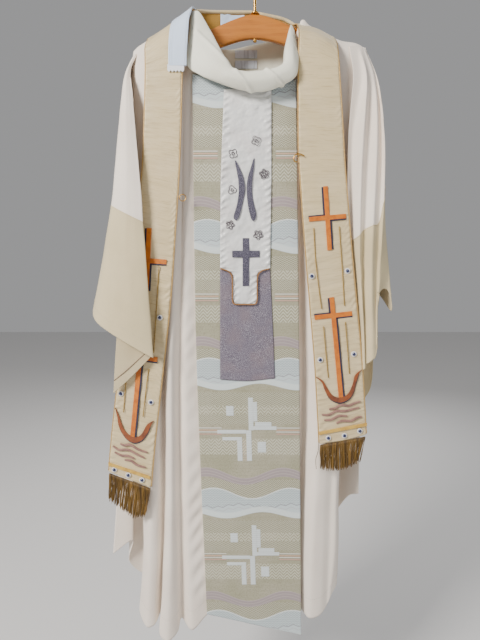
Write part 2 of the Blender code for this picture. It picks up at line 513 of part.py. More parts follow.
# slab() wants its columns to run so that "along x fall" points inward, which the crossing order gives.
cloth("stole_neck", [list(reversed(line)) for line in STOLE_NECK], 26, 3, silk, 0.0030)
cloth("neck_guard", [
    [(-0.1355, -0.0765, -0.2070), (-0.1490, -0.0768, -0.2070), (-0.1630, -0.0765, -0.2070)],
    [(-0.1340, -0.0755, -0.1520), (-0.1480, -0.0760, -0.1520), (-0.1630, -0.0755, -0.1520)],
    [(-0.1270, -0.0575, -0.0990), (-0.1420, -0.0590, -0.1050), (-0.1580, -0.0575, -0.1120)],
    [(-0.1225, -0.0130, -0.0670), (-0.1390, -0.0120, -0.0740), (-0.1560, -0.0110, -0.0830)],
    [(-0.1190, 0.0400, -0.0460), (-0.1360, 0.0490, -0.0610), (-0.1500, 0.0550, -0.0770)],
], 10, 2, cotton, 0.0014)


# ---------------------------------------------------------------- hanging stole halves
def edge_x(edge, z):
    """x of a hanging stole edge at height z, from its (x, z) points listed downward."""
    for (x0, z0), (x1, z1) in zip(edge, edge[1:]):
        if z >= z1 or (x1, z1) == edge[-1]:
            return x0 + (x1 - x0) * (z - z0) / (z1 - z0)


def stole_half(side, left_edge, right_edge):
    """Silk face, lining and two piped edges; edges are (x, z) lists from the shoulder to the bottom."""
    guides = []
    for share in (0.0, 0.5, 1.0):
        line = []
        for (x0, z0), (x1, z1) in zip(left_edge, right_edge):
            line.append((x0 + (x1 - x0) * share, STOLE_Y, z0 + (z1 - z0) * share))
        guides.append(line)
    cloth("stole_" + side, guides, 4, 10, silk, STOLE_THICK)
    inset = 0.0040
    lining = []
    for share in (0.0, 1.0):
        line = []
        for (x0, z0), (x1, z1) in zip(left_edge, right_edge):
            x = x0 + (x1 - x0) * share + inset * (1.0 - 2.0 * share)
            line.append((x, STOLE_Y + STOLE_THICK + 0.0005, z0 + (z1 - z0) * share))
        line[-1] = (line[-1][0], line[-1][1], line[-1][2] + inset)
        lining.append(line)
    cloth("stole_" + side + "_lining", lining, 2, 10, mustard, LINING_THICK)
    for edge_name, edge, outward in (("_piping_left", left_edge, -1.0), ("_piping_right", right_edge, 1.0)):
        track = [Vector((x, STOLE_Y + STOLE_THICK / 2, z)) for x, z in edge]
        path = [between(track, step / 10) for step in range(11)]
        tube("stole_" + side + edge_name,
             [(p.x + outward * (PIPING_RADIUS + 0.0007), p.y, p.z) for p in path], PIPING_RADIUS, gold_piping, sides=6)


def heading_braid(side, corner_left, corner_right):
    """Gold braid laid over the stole, above the row of beads at its bottom edge."""
    (x0, z0), (x1, z1) = corner_left, corner_right
    plate("braid_" + side, [(x0, z0 + 0.0210), (x1, z1 + 0.0250), (x1, z1 + 0.0180), (x0, z0 + 0.0140)],
          STOLE_Y - 0.0032, 0.0020, braid)


def fringe(side, corner_left, corner_right, tip_left, tip_right):
    """Bullion fringe as one soft curtain hanging under the braid, its foot slightly uneven."""
    (x0, z0), (x1, z1) = corner_left, corner_right
    top = [(x0, z0 - 0.004), (x0 * 0.5 + x1 * 0.5, z0 * 0.5 + z1 * 0.5 - 0.004), (x1, z1 - 0.004)]
    low = [tip_left, (tip_left[0] * 0.5 + tip_right[0] * 0.5, tip_left[1] * 0.5 + tip_right[1] * 0.5), tip_right]
    guides = []
    for (tx, tz), (lx, lz) in zip(top, low):
        guides.append([(tx, STOLE_Y - 0.0010, tz), ((tx + lx) / 2, STOLE_Y - 0.0010, (tz + lz) / 2),
                       (lx, STOLE_Y - 0.0010, lz)])
    cloth("fringe_" + side, guides, 4, 3, bronze, 0.0040)


def anchor_outline(height, bar_length, bar_drop, thickness, fluke_reach, fluke_left, fluke_right):
    """Cross standing on an anchor's curved arms, about its foot; up is positive."""
    t = thickness / 2
    b = bar_length / 2
    top = height - bar_drop + t
    low = height - bar_drop - t

    def arm(reach, tip_height, thick):
        points = []
        for step in range(7):
            turn = math.radians(90.0 * step / 6)
            points.append((reach * math.sin(turn), thick + (tip_height - thick) * (1.0 - math.cos(turn))))
        return points

    outer_right = arm(fluke_reach, fluke_right, 0.0)
    outer_left = arm(-fluke_reach, fluke_left, 0.0)
    inner_right = [(x * 0.84, z + thickness * (1.0 - 0.6 * i / 6)) for i, (x, z) in enumerate(outer_right)]
    inner_left = [(x * 0.84, z + thickness * (1.0 - 0.6 * i / 6)) for i, (x, z) in enumerate(outer_left)]
    outline = [(-t, height), (-t, top), (-b, top), (-b, low), (-t, low), (-t, inner_left[1][1] + 0.002)]
    outline += inner_left[2:]
    outline += list(reversed(outer_left[1:]))
    outline += outer_right[0:1]
    outline += outer_right[1:]
    outline += list(reversed(inner_right[2:]))
    outline += [(t, inner_right[1][1] + 0.002), (t, low), (b, low), (b, top), (t, top), (t, height)]
    return outline


TOP_Z = STOLE_PIVOT_Z - STOLE_GAP
LEFT_OUTER = [(-0.2040, TOP_Z), (-0.2150, -0.386), (-0.2480, -0.600), (-0.2770, -0.822), (-0.2970, -0.984)]
LEFT_INNER = [(-0.1370, TOP_Z), (-0.1470, -0.400), (-0.1650, -0.620), (-0.1920, -0.840), (-0.2125, -1.018)]
RIGHT_INNER = [(0.0800, TOP_Z), (0.0830, -0.362), (0.1000, -0.560), (0.1190, -0.750), (0.1315, -0.925)]
RIGHT_OUTER = [(0.1510, TOP_Z), (0.1680, -0.367), (0.1870, -0.545), (0.2100, -0.735), (0.2255, -0.906)]
stole_half("left", LEFT_OUTER, LEFT_INNER)
stole_half("right", RIGHT_INNER, RIGHT_OUTER)
heading_braid("left", LEFT_OUTER[-1], LEFT_INNER[-1])
heading_braid("right", RIGHT_INNER[-1], RIGHT_OUTER[-1])
fringe("left", LEFT_OUTER[-1], LEFT_INNER[-1], (-0.2970, -1.052), (-0.2200, -1.080))
fringe("right", RIGHT_INNER[-1], RIGHT_OUTER[-1], (0.1300, -0.977), (0.2190, -0.960))

LEFT_TILT = -6.5
RIGHT_TILT = 6.5
plate("cross_left", tilted(cross_outline(0.130, 0.070, 0.062, 0.0100), (-0.2010, -0.497), LEFT_TILT),
      STOLE_EMBROIDERY_Y, 0.0013, orange)
plate("cross_right", tilted(cross_outline(0.130, 0.075, 0.060, 0.0100), (0.1270, -0.418), RIGHT_TILT),
      STOLE_EMBROIDERY_Y, 0.0013, orange)
plate("anchor_left", tilted(anchor_outline(0.205, 0.066, 0.038, 0.0080, 0.038, 0.060, 0.054), (-0.2500, -0.925),
                            LEFT_TILT * 1.2), STOLE_EMBROIDERY_Y, 0.0013, orange)
plate("anchor_right", tilted(anchor_outline(0.205, 0.074, 0.037, 0.0080, 0.042, 0.056, 0.056), (0.1720, -0.838),
                             RIGHT_TILT), STOLE_EMBROIDERY_Y, 0.0013, orange)

for number, (x, z) in enumerate(((-0.1870, -0.668), (-0.2670, -0.824), (-0.2070, -0.846),
                                 (-0.2860, -0.980), (-0.2575, -0.991), (-0.2300, -1.001)), start=1):
    bead("bead_left_%d" % number, x, z, navy)
for number, (x, z) in enumerate(((0.1100, -0.587), (0.1790, -0.577), (0.1280, -0.752), (0.1960, -0.742),
                                 (0.1490, -0.912), (0.1810, -0.907), (0.2125, -0.899)), start=1):
    bead("bead_right_%d" % number, x, z, navy)

# ---------------------------------------------------------------- hook and ring that can join the stole halves
ring_path = []
for step in range(14):
    turn = 2.0 * math.pi * step / 14
    ring_path.append((-0.1390 + 0.0065 * math.cos(turn), STOLE_Y - 0.0035, -0.4380 + 0.0065 * math.sin(turn)))
tube("stole_ring", ring_path, 0.0010, brass, sides=6, closed=True)
clasp_path = [(0.0920, -0.361), (0.0860, -0.358), (0.0800, -0.357), (0.0740, -0.360), (0.0715, -0.366),
              (0.0740, -0.371), (0.0790, -0.372)]
tube("stole_hook", [(x, STOLE_Y - 0.0030, z) for x, z in clasp_path], 0.0013, brass, sides=6)

# ---------------------------------------------------------------- moving groups hang from an empty on their pivot
MOVING = {
    "sleeve_left_pivot": ((-0.2440, 0.0, -0.1640), ("sleeve_left", "sleeve_band_left", "sleeve_under_left")),
    "sleeve_right_pivot": ((0.2240, 0.0, -0.1640), ("sleeve_right", "sleeve_band_right")),
    "stole_left_pivot": ((-0.1700, STOLE_Y, STOLE_PIVOT_Z), ("stole_left", "cross_left", "anchor_left")),
    "stole_right_pivot": ((0.1150, STOLE_Y, STOLE_PIVOT_Z), ("stole_right", "cross_right", "anchor_right")),
    "fringe_left_pivot": ((-0.2548, STOLE_Y, -1.0040), ("fringe_left",)),
    "fringe_right_pivot": ((0.1785, STOLE_Y, -0.9185), ("fringe_right",)),
}
for pivot_name, (place, members) in MOVING.items():
    pivot = bpy.data.objects.new(pivot_name, None)
    pivot.location = place
    bpy.context.scene.collection.objects.link(pivot)
    for member in members:
        child = bpy.data.objects[member]
        child.parent = pivot
        child.matrix_parent_inverse = Matrix.Translation(place).inverted()
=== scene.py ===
"""Ivory chasuble with roll collar, woven orphrey and embroidered stole on a wooden vestment hanger."""

import json
import math
import random

import bmesh
import bpy
import numpy as np
from mathutils import Vector
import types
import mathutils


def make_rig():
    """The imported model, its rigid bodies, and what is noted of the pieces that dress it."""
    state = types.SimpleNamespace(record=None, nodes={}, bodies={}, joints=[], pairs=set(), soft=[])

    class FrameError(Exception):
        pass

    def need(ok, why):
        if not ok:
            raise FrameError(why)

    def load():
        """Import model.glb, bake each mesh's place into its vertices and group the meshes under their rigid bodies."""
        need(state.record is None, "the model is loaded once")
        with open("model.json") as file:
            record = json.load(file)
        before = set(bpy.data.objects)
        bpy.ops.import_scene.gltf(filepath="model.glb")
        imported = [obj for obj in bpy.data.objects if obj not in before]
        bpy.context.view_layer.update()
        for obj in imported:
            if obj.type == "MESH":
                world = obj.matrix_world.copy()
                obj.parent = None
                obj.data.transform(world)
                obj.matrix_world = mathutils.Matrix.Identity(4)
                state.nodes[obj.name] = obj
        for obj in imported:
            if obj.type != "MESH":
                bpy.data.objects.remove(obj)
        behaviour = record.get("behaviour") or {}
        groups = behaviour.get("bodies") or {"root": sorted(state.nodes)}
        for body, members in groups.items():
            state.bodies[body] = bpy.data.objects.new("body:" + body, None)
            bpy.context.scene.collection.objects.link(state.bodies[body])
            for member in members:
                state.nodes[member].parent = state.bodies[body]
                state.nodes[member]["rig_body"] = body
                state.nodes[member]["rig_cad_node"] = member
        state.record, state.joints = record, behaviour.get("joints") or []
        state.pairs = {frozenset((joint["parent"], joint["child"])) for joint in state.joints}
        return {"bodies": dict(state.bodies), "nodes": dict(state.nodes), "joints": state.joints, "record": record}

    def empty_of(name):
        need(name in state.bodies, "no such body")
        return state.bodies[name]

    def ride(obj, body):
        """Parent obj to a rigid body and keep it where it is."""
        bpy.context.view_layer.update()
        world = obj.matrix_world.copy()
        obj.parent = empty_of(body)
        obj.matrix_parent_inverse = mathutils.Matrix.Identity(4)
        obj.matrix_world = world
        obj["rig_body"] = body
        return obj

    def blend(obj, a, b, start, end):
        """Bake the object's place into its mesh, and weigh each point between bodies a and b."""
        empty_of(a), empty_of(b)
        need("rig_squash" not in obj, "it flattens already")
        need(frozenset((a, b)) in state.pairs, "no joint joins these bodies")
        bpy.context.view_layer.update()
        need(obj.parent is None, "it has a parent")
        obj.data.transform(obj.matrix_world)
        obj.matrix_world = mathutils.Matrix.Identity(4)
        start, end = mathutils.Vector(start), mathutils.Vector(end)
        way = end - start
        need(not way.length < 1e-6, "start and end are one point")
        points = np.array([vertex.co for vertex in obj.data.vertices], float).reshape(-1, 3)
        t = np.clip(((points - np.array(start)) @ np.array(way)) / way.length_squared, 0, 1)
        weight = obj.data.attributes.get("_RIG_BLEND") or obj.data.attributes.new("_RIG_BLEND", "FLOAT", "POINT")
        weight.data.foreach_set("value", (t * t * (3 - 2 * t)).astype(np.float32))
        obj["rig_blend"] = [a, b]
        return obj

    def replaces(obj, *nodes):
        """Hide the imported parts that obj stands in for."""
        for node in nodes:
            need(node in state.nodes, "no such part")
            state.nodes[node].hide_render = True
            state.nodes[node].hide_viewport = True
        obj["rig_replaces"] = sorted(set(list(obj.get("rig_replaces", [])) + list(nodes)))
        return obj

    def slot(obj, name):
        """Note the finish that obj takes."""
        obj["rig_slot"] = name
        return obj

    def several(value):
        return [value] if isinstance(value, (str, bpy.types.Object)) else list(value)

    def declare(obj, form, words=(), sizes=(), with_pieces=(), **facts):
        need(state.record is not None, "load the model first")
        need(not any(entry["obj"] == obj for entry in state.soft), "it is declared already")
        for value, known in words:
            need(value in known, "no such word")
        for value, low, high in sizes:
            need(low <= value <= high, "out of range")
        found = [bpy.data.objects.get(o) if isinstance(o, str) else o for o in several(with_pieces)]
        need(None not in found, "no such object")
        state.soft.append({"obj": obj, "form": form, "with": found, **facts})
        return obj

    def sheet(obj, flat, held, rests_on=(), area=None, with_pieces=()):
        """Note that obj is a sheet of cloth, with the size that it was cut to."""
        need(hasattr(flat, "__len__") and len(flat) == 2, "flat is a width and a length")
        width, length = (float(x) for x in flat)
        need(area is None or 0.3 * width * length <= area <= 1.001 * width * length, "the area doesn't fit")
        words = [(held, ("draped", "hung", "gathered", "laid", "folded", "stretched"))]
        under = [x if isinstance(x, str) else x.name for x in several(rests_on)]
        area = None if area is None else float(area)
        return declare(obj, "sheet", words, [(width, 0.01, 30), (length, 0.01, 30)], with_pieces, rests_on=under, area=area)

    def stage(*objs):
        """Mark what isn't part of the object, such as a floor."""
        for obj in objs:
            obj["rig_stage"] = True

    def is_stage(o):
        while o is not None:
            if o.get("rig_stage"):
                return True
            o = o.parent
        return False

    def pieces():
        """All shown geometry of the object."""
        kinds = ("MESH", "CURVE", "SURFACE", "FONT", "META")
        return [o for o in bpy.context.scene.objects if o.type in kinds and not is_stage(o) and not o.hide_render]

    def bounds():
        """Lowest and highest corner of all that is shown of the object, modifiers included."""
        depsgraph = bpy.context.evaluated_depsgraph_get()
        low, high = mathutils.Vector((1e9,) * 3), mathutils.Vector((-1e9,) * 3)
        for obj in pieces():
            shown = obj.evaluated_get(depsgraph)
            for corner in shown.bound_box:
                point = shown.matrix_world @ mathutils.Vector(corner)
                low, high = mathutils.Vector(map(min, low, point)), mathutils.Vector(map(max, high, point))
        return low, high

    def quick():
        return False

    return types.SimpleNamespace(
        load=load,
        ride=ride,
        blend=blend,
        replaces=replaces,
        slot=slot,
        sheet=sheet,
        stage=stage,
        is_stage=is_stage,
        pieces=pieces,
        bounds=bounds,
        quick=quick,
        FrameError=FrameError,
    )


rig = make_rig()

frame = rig.load()
cad_low, cad_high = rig.bounds()


# ------------------------------------------------------------------ camera
# Stands a metre in front of the garment at chest height and looks a little downward,
# as someone standing back from a hanging vestment would.
camera_data = bpy.data.cameras.new("camera")
camera_data.lens = 27.0
camera_data.sensor_width = 36.0
camera = bpy.data.objects.new("camera", camera_data)
camera.location = (-0.0296, -1.01, -0.566)
camera.rotation_euler = (math.radians(90.0 - 6.5), 0.0, 0.0)
bpy.context.scene.collection.objects.link(camera)
bpy.context.scene.camera = camera


# ------------------------------------------------------------------ studio
# Pale floor below the hem, a large soft lamp high on the left, a weaker one on the right
# and a pale surround that fills the shadows.
FLOOR_BELOW_HEM = 0.32


def soft_lamp(name, place, aim, width, watts, tint):
    data = bpy.data.lights.new(name, "AREA")
    data.shape = "SQUARE"
    data.size = width
    data.energy = watts
    data.color = tint
    lamp = bpy.data.objects.new(name, data)
    lamp.location = place
    lamp.rotation_euler = (Vector(aim) - Vector(place)).to_track_quat("-Z", "Y").to_euler()
    bpy.context.scene.collection.objects.link(lamp)


soft_lamp("key_lamp", (-1.9, -1.9, 0.9), (0.0, 0.0, -0.6), 0.8, 146.0, (1.0, 0.965, 0.92))
soft_lamp("fill_lamp", (2.2, -1.9, -0.2), (0.0, 0.0, -0.7), 1.8, 16.0, (0.93, 0.96, 1.0))
soft_lamp("back_lamp", (0.6, 2.4, 0.6), (0.0, 0.0, -0.6), 1.6, 40.0, (1.0, 1.0, 1.0))

surround = bpy.data.worlds.new("surround")
surround.use_nodes = True
surround.node_tree.nodes["Background"].inputs["Color"].default_value = (0.8, 0.8, 0.81, 1.0)
surround.node_tree.nodes["Background"].inputs["Strength"].default_value = 0.42
bpy.context.scene.world = surround

floor_level = cad_low.z - FLOOR_BELOW_HEM
bpy.ops.mesh.primitive_plane_add(size=14.0, location=(0.0, 0.0, floor_level))
floor = bpy.context.object
floor.name = "floor"
floor_paint = bpy.data.materials.new("floor_paint")
floor_paint.use_nodes = True
floor_paint.node_tree.nodes["Principled BSDF"].inputs["Base Color"].default_value = (0.72, 0.71, 0.7, 1.0)
floor_paint.node_tree.nodes["Principled BSDF"].inputs["Roughness"].default_value = 0.8
floor.data.materials.append(floor_paint)
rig.stage(floor)


# ------------------------------------------------------------------ hanger hook, ferrule and rivet
# Polished brass rod bent to a swivel hook; its shank passes through a turned ferrule and the
# wooden yoke, and is riveted over underneath so that it can turn.
def colour(red, green, blue):
    """Linear colour from the eye's 0-255 values."""
    return tuple(((v / 255.0 + 0.055) / 1.055) ** 2.4 if v > 10 else v / 255.0 / 12.92
                 for v in (red, green, blue)) + (1.0,)


class Thread:
    """A number running through a material's nodes, so that a pattern reads as plain arithmetic."""

    def __init__(self, tree, socket):
        self.tree = tree
        self.socket = socket

    def calc(self, operation, *others, clamp=False):
        node = self.tree.nodes.new("ShaderNodeMath")
        node.operation = operation
        node.use_clamp = clamp
        self.tree.links.new(self.socket, node.inputs[0])
        for slot, other in enumerate(others, start=1):
            if isinstance(other, Thread):
                self.tree.links.new(other.socket, node.inputs[slot])
            else:
                node.inputs[slot].default_value = other
        return Thread(self.tree, node.outputs[0])

    def __add__(self, other):
        return self.calc("ADD", other)

    def __sub__(self, other):
        return self.calc("SUBTRACT", other)

    def __mul__(self, other):
        return self.calc("MULTIPLY", other)

    def __truediv__(self, other):
        return self.calc("DIVIDE", other)

    def sine(self):
        return self.calc("SINE")

    def size(self):
        return self.calc("ABSOLUTE")

    def part(self):
        """What is left after the whole number."""
        return self.calc("FRACT")

    def most(self, other):
        return self.calc("MAXIMUM", other)

    def zigzag(self, pitch):
        """Triangle wave from 0 to 1 and back over one pitch."""
        return (((self / pitch).part() * 2.0) - 1.0).size()

    def step(self, low, high):
        """0 below low, 1 above high, smooth between."""
        node = self.tree.nodes.new("ShaderNodeMapRange")
        node.interpolation_type = "SMOOTHSTEP"
        node.inputs["From Min"].default_value = low
        node.inputs["From Max"].default_value = high
        self.tree.links.new(self.socket, node.inputs["Value"])
        return Thread(self.tree, node.outputs[0])

    def within(self, low, high, soft):
        """1 between low and high, 0 outside, with soft edges."""
        return self.step(low - soft, low + soft) * self.step(high + soft, high - soft)


class Finish:
    """A Principled material with the few nodes that this garment's cloths and metals share."""

    def __init__(self, name, base, roughness, metallic=0.0):
        self.material = bpy.data.materials.new(name)
        self.material.use_nodes = True
        self.tree = self.material.node_tree
        self.shader = self.tree.nodes["Principled BSDF"]
        self.shader.inputs["Base Color"].default_value = base
        self.shader.inputs["Roughness"].default_value = roughness
        self.shader.inputs["Metallic"].default_value = metallic
        self.base = base
        self.height = None

    def place(self, kind="Object"):
        node = self.tree.nodes.new("ShaderNodeTexCoord")
        return node.outputs[kind]

    def cloth_place(self):
        """Metres across and down the cloth, as two threads."""
        split = self.tree.nodes.new("ShaderNodeSeparateXYZ")
        self.tree.links.new(self.place("UV"), split.inputs[0])
        return Thread(self.tree, split.outputs[0]), Thread(self.tree, split.outputs[1])

    def noise(self, scale, detail=2.0, stretch=(1.0, 1.0, 1.0), kind="Object", rough=0.5):
        mapping = self.tree.nodes.new("ShaderNodeMapping")
        mapping.inputs["Scale"].default_value = stretch
        node = self.tree.nodes.new("ShaderNodeTexNoise")
        node.inputs["Scale"].default_value = scale
        node.inputs["Detail"].default_value = detail
        node.inputs["Roughness"].default_value = rough
        self.tree.links.new(self.place(kind), mapping.inputs["Vector"])
        self.tree.links.new(mapping.outputs["Vector"], node.inputs["Vector"])
        return Thread(self.tree, node.outputs["Fac"])

    def tint(self, amount, other):
        """Blend the colour so far towards another one, by a thread from 0 to 1."""
        mix = self.tree.nodes.new("ShaderNodeMix")
        mix.data_type = "RGBA"
        source = self.shader.inputs["Base Color"]
        if source.links:
            self.tree.links.new(source.links[0].from_socket, mix.inputs[6])
        else:
            mix.inputs[6].default_value = source.default_value
        mix.inputs[7].default_value = other
        if isinstance(amount, Thread):
            self.tree.links.new(amount.socket, mix.inputs[0])
        else:
            mix.inputs[0].default_value = amount
        self.tree.links.new(mix.outputs[2], source)
        return self

    def emboss(self, thread, strength, distance):
        """Add surface relief from a thread."""
        bump = self.tree.nodes.new("ShaderNodeBump")
        bump.inputs["Strength"].default_value = strength
        bump.inputs["Distance"].default_value = distance
        self.tree.links.new(thread.socket, bump.inputs["Height"])
        source = self.shader.inputs["Normal"]
        if source.links:
            self.tree.links.new(source.links[0].from_socket, bump.inputs["Normal"])
        self.tree.links.new(bump.outputs["Normal"], source)
        return self

    def rough(self, thread, low, high):
        span = thread * (high - low) + low
        self.tree.links.new(span.socket, self.shader.inputs["Roughness"])
        return self

    def set(self, **values):
        for label, value in values.items():
            self.shader.inputs[label.replace("_", " ").title().replace("Ior", "IOR")].default_value = value
        return self


brass = Finish("brass", colour(206, 160, 84), 0.26, metallic=1.0)
brass.tint(brass.noise(60.0, 4.0).step(0.5, 0.75) * 0.55, colour(132, 92, 44))
brass.rough(brass.noise(180.0, 3.0), 0.18, 0.42)
brass.emboss(brass.noise(900.0, 2.0, (1.0, 1.0, 0.2)), 0.15, 0.0004)


def curve_through(points, count):
    """Catmull-Rom curve through points, along the first axis, sampled evenly."""
    points = np.asarray(points, float)
    spans = len(points) - 1
    if spans == 1:
        share = np.linspace(0.0, 1.0, count).reshape((-1,) + (1,) * (points.ndim - 1))
        return points[0] * (1.0 - share) + points[1] * share
    padded = np.concatenate([[2.0 * points[0] - points[1]], points, [2.0 * points[-1] - points[-2]]])
    position = np.linspace(0.0, spans, count)
    index = np.minimum(position.astype(int), spans - 1)
    share = (position - index).reshape((-1,) + (1,) * (points.ndim - 1))
    p0, p1, p2, p3 = (padded[index + k] for k in range(4))
    return 0.5 * (2.0 * p1 + (p2 - p0) * share + (2.0 * p0 - 5.0 * p1 + 4.0 * p2 - p3) * share ** 2
                  + (3.0 * p1 - p0 - 3.0 * p2 + p3) * share ** 3)


def new_piece(name, points, faces, finish, coordinates=None):
    """Smooth-shaded mesh object, with cloth coordinates per point if given."""
    mesh = bpy.data.meshes.new(name)
    mesh.from_pydata([tuple(point) for point in points], [], faces)
    mesh.materials.append(finish.material)
    mesh.shade_smooth()
    if coordinates is not None:
        layer = mesh.uv_layers.new(name="cloth")
        corner = np.zeros(len(mesh.loops), np.int32)
        mesh.loops.foreach_get("vertex_index", corner)
        layer.data.foreach_set("uv", np.asarray(coordinates, np.float32)[corner].ravel())
    made = bpy.data.objects.new(name, mesh)
    bpy.context.scene.collection.objects.link(made)
    return made


def sweep(path, radii, sides, closed=False, squash=1.0):
    """Points and faces of a round rod along a path."""
    path = np.asarray(path, float)
    count = len(path)
    radii = np.broadcast_to(radii, (count,))
    if closed:
        heading = np.roll(path, -1, 0) - np.roll(path, 1, 0)
    else:
        heading = np.gradient(path, axis=0)
    heading /= np.linalg.norm(heading, axis=1)[:, None]
    side = np.array([0.0, 1.0, 0.0])
    if abs(heading[0] @ side) > 0.95:
        side = np.array([0.0, 0.0, 1.0])
    points = []
    for here, way, radius in zip(path, heading, radii):
        side = side - way * (side @ way)
        side /= np.linalg.norm(side)
        other = np.cross(way, side)
        for k in range(sides):
            turn = 2.0 * math.pi * k / sides
            points.append(here + (side * math.cos(turn) * squash + other * math.sin(turn)) * radius)
    faces = []
    for i in range(count if closed else count - 1):
        j = (i + 1) % count
        for k in range(sides):
            n = (k + 1) % sides
            faces.append((i * sides + k, i * sides + n, j * sides + n, j * sides + k))
    if not closed:
        faces.append(tuple(reversed(range(sides))))
        faces.append(tuple(range((count - 1) * sides, count * sides)))
    return points, faces


def rod(name, path, radius, sides, finish, closed=False, squash=1.0):
    points, faces = sweep(path, radius, sides, closed, squash)
    return new_piece(name, points, faces, finish)


HOOK_ROD = 0.003
HOOK_BEND = 0.023
bend_middle = HOOK_ROD - HOOK_BEND
hook_route = [(-HOOK_BEND * math.cos(math.radians(a)), 0.0,
    bend_middle + HOOK_BEND * math.sin(math.radians(a)))
              for a in range(-20, 181, 20)]
hook_route += [(0.021, 0.0, -0.0285), (0.015, 0.0, -0.0345), (0.007, 0.0, -0.0375), (0.0018, 0.0, -0.042),
               (0.0, 0.0, -0.049), (0.0, 0.0, -0.07), (0.0, 0.0, -0.1), (0.0, 0.0, -0.124)]
hook_path = curve_through(hook_route, 150)
hook_radii = np.full(150, HOOK_ROD)
hook_radii[0] = 0.0012
hook_radii[1] = 0.0024
hook_points, hook_faces = sweep(hook_path, hook_radii, 24)
hook = new_piece("swivel_hook", hook_points, hook_faces, brass)
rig.replaces(hook, "hook")
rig.slot(hook, "brass")
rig.ride(hook, "hook")


def turned(name, profile, height, finish, sides=48):
    """Lathe-turned ring: profile is (radius, height) round its section."""
    points = []
    for radius, rise in profile:
        for k in range(sides):
            turn = 2.0 * math.pi * k / sides
            points.append((radius * math.cos(turn), radius * math.sin(turn), height + rise))
    count = len(profile)
    faces = []
    for i in range(count):
        j = (i + 1) % count
        for k in range(sides):
            n = (k + 1) % sides
            faces.append((i * sides + k, j * sides + k, j * sides + n, i * sides + n))
    return new_piece(name, points, faces, finish)


ferrule = turned("shank_ferrule", [
    (0.0035, 0.006), (0.0052, 0.0062), (0.0062, 0.0054), (0.0064, 0.004), (0.006, 0.003), (0.0066, 0.0024),
    (0.0088, 0.002), (0.0093, 0.0012), (0.0092, 0.0006), (0.0035, 0.0006),
], -0.075, brass)
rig.replaces(ferrule, "hook_ferrule")
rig.slot(ferrule, "brass")
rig.ride(ferrule, "garment")
rivet = turned("shank_rivet", [
    (0.0001, 0.0), (0.0036, 0.0), (0.0038, -0.0004), (0.0035, -0.0009), (0.0028, -0.0013),
    (0.0014, -0.0017),
    (0.0001, -0.0019),
], -0.1243, brass)
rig.replaces(rivet, "hook_rivet")
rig.slot(rivet, "brass")
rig.ride(rivet, "hook")


# ------------------------------------------------------------------ hanger yoke
# One arched piece of pale varnished hardwood, sawn to shape with rounded edges, bored in the
# middle for the hook's shank; the grain runs along the arch.
WOOD_CROWN = -0.075
WOOD_SLOPE = 0.46
WOOD_HALF_LENGTH = 0.226
wood = Finish("varnished_wood", colour(188, 116, 40), 0.42)
rings = wood.noise(9.0, 4.0, (0.55, 6.0, 5.0))
wood.tint(((rings * 26.0).sine() * 0.5 + 0.5).step(0.25, 0.85) * 0.35, colour(166, 94, 30))
wood.tint(wood.noise(420.0, 3.0, (0.06, 1.0, 1.0)).step(0.56, 0.72) * 0.45, colour(128, 76, 34))
wood.rough(wood.noise(30.0, 3.0), 0.34, 0.55)
wood.emboss(wood.noise(520.0, 3.0, (0.05, 1.0, 1.0)), 0.25, 0.0005)
wood.set(coat_weight=0.25)

STATIONS = 161
AROUND = 32
yoke_points = []
for station in range(STATIONS):
    reach = 2.0 * station / (STATIONS - 1) - 1.0
    x = WOOD_HALF_LENGTH * reach
    height = 0.046 - 0.02 * abs(reach)
    half_width = 0.007 + 0.003 * abs(reach)
    end_distance = (1.0 - abs(reach)) * WOOD_HALF_LENGTH
    blunt = math.sqrt(max(0.0, 1.0 - (1.0 - min(1.0, end_distance / 0.01)) ** 2)) * 0.94 + 0.06
    middle = WOOD_CROWN - WOOD_SLOPE * (math.sqrt(x * x + 0.03 ** 2) - 0.03) - height / 2.0
    for k in range(AROUND):
        turn = 2.0 * math.pi * (k + 0.5) / AROUND
        across = math.copysign(abs(math.cos(turn)) ** 0.5, math.cos(turn))
        up = math.copysign(abs(math.sin(turn)) ** 0.5, math.sin(turn))
        yoke_points.append((x, half_width * across * blunt, middle + height / 2.0 * up * blunt))
yoke_faces = []
for i in range(STATIONS - 1):
    for k in range(AROUND):
        n = (k + 1) % AROUND
        yoke_faces.append((i * AROUND + k, i * AROUND + n, (i + 1) * AROUND + n, (i + 1) * AROUND + k))
yoke_faces.append(tuple(reversed(range(AROUND))))
yoke_faces.append(tuple(range((STATIONS - 1) * AROUND, STATIONS * AROUND)))
yoke = new_piece("wooden_yoke", yoke_points, yoke_faces, wood)
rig.replaces(yoke, "hanger_yoke")
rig.slot(yoke, "hanger_wood")
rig.ride(yoke, "garment")


# ------------------------------------------------------------------ chasuble body
# Ivory wool-polyester cloth cut as two half fronts and two half backs, seamed down the middle
# under the orphreys; it hangs from the yoke in long tubular folds and ends in a stitched hem.
def cloth_finish(name, base, shade, roughness=0.86, thread=0.0009, weave=0.25, mottle=0.35, sheen=0.25):
    """Plain woven cloth: two crossing threads, slubs and a faint cloudiness towards the shade colour."""
    made = Finish(name, base, roughness)
    across, down = made.cloth_place()
    over = (across * (math.pi / thread)).sine()
    under = (down * (math.pi / thread)).sine()
    made.tint(made.noise(11.0, 3.0).step(0.35, 0.7) * mottle, shade)
    slub = made.noise(700.0, 2.0, (1.0, 0.04, 1.0), "UV") + made.noise(700.0, 2.0, (0.04, 1.0, 1.0), "UV")
    made.tint((slub * 0.5).step(0.5, 0.68) * 0.22, shade)
    made.emboss((over * under * 0.5 + slub), weave, 0.0004)
    made.set(sheen_weight=sheen, sheen_roughness=0.5, specular_ior_level=0.25)
    return made


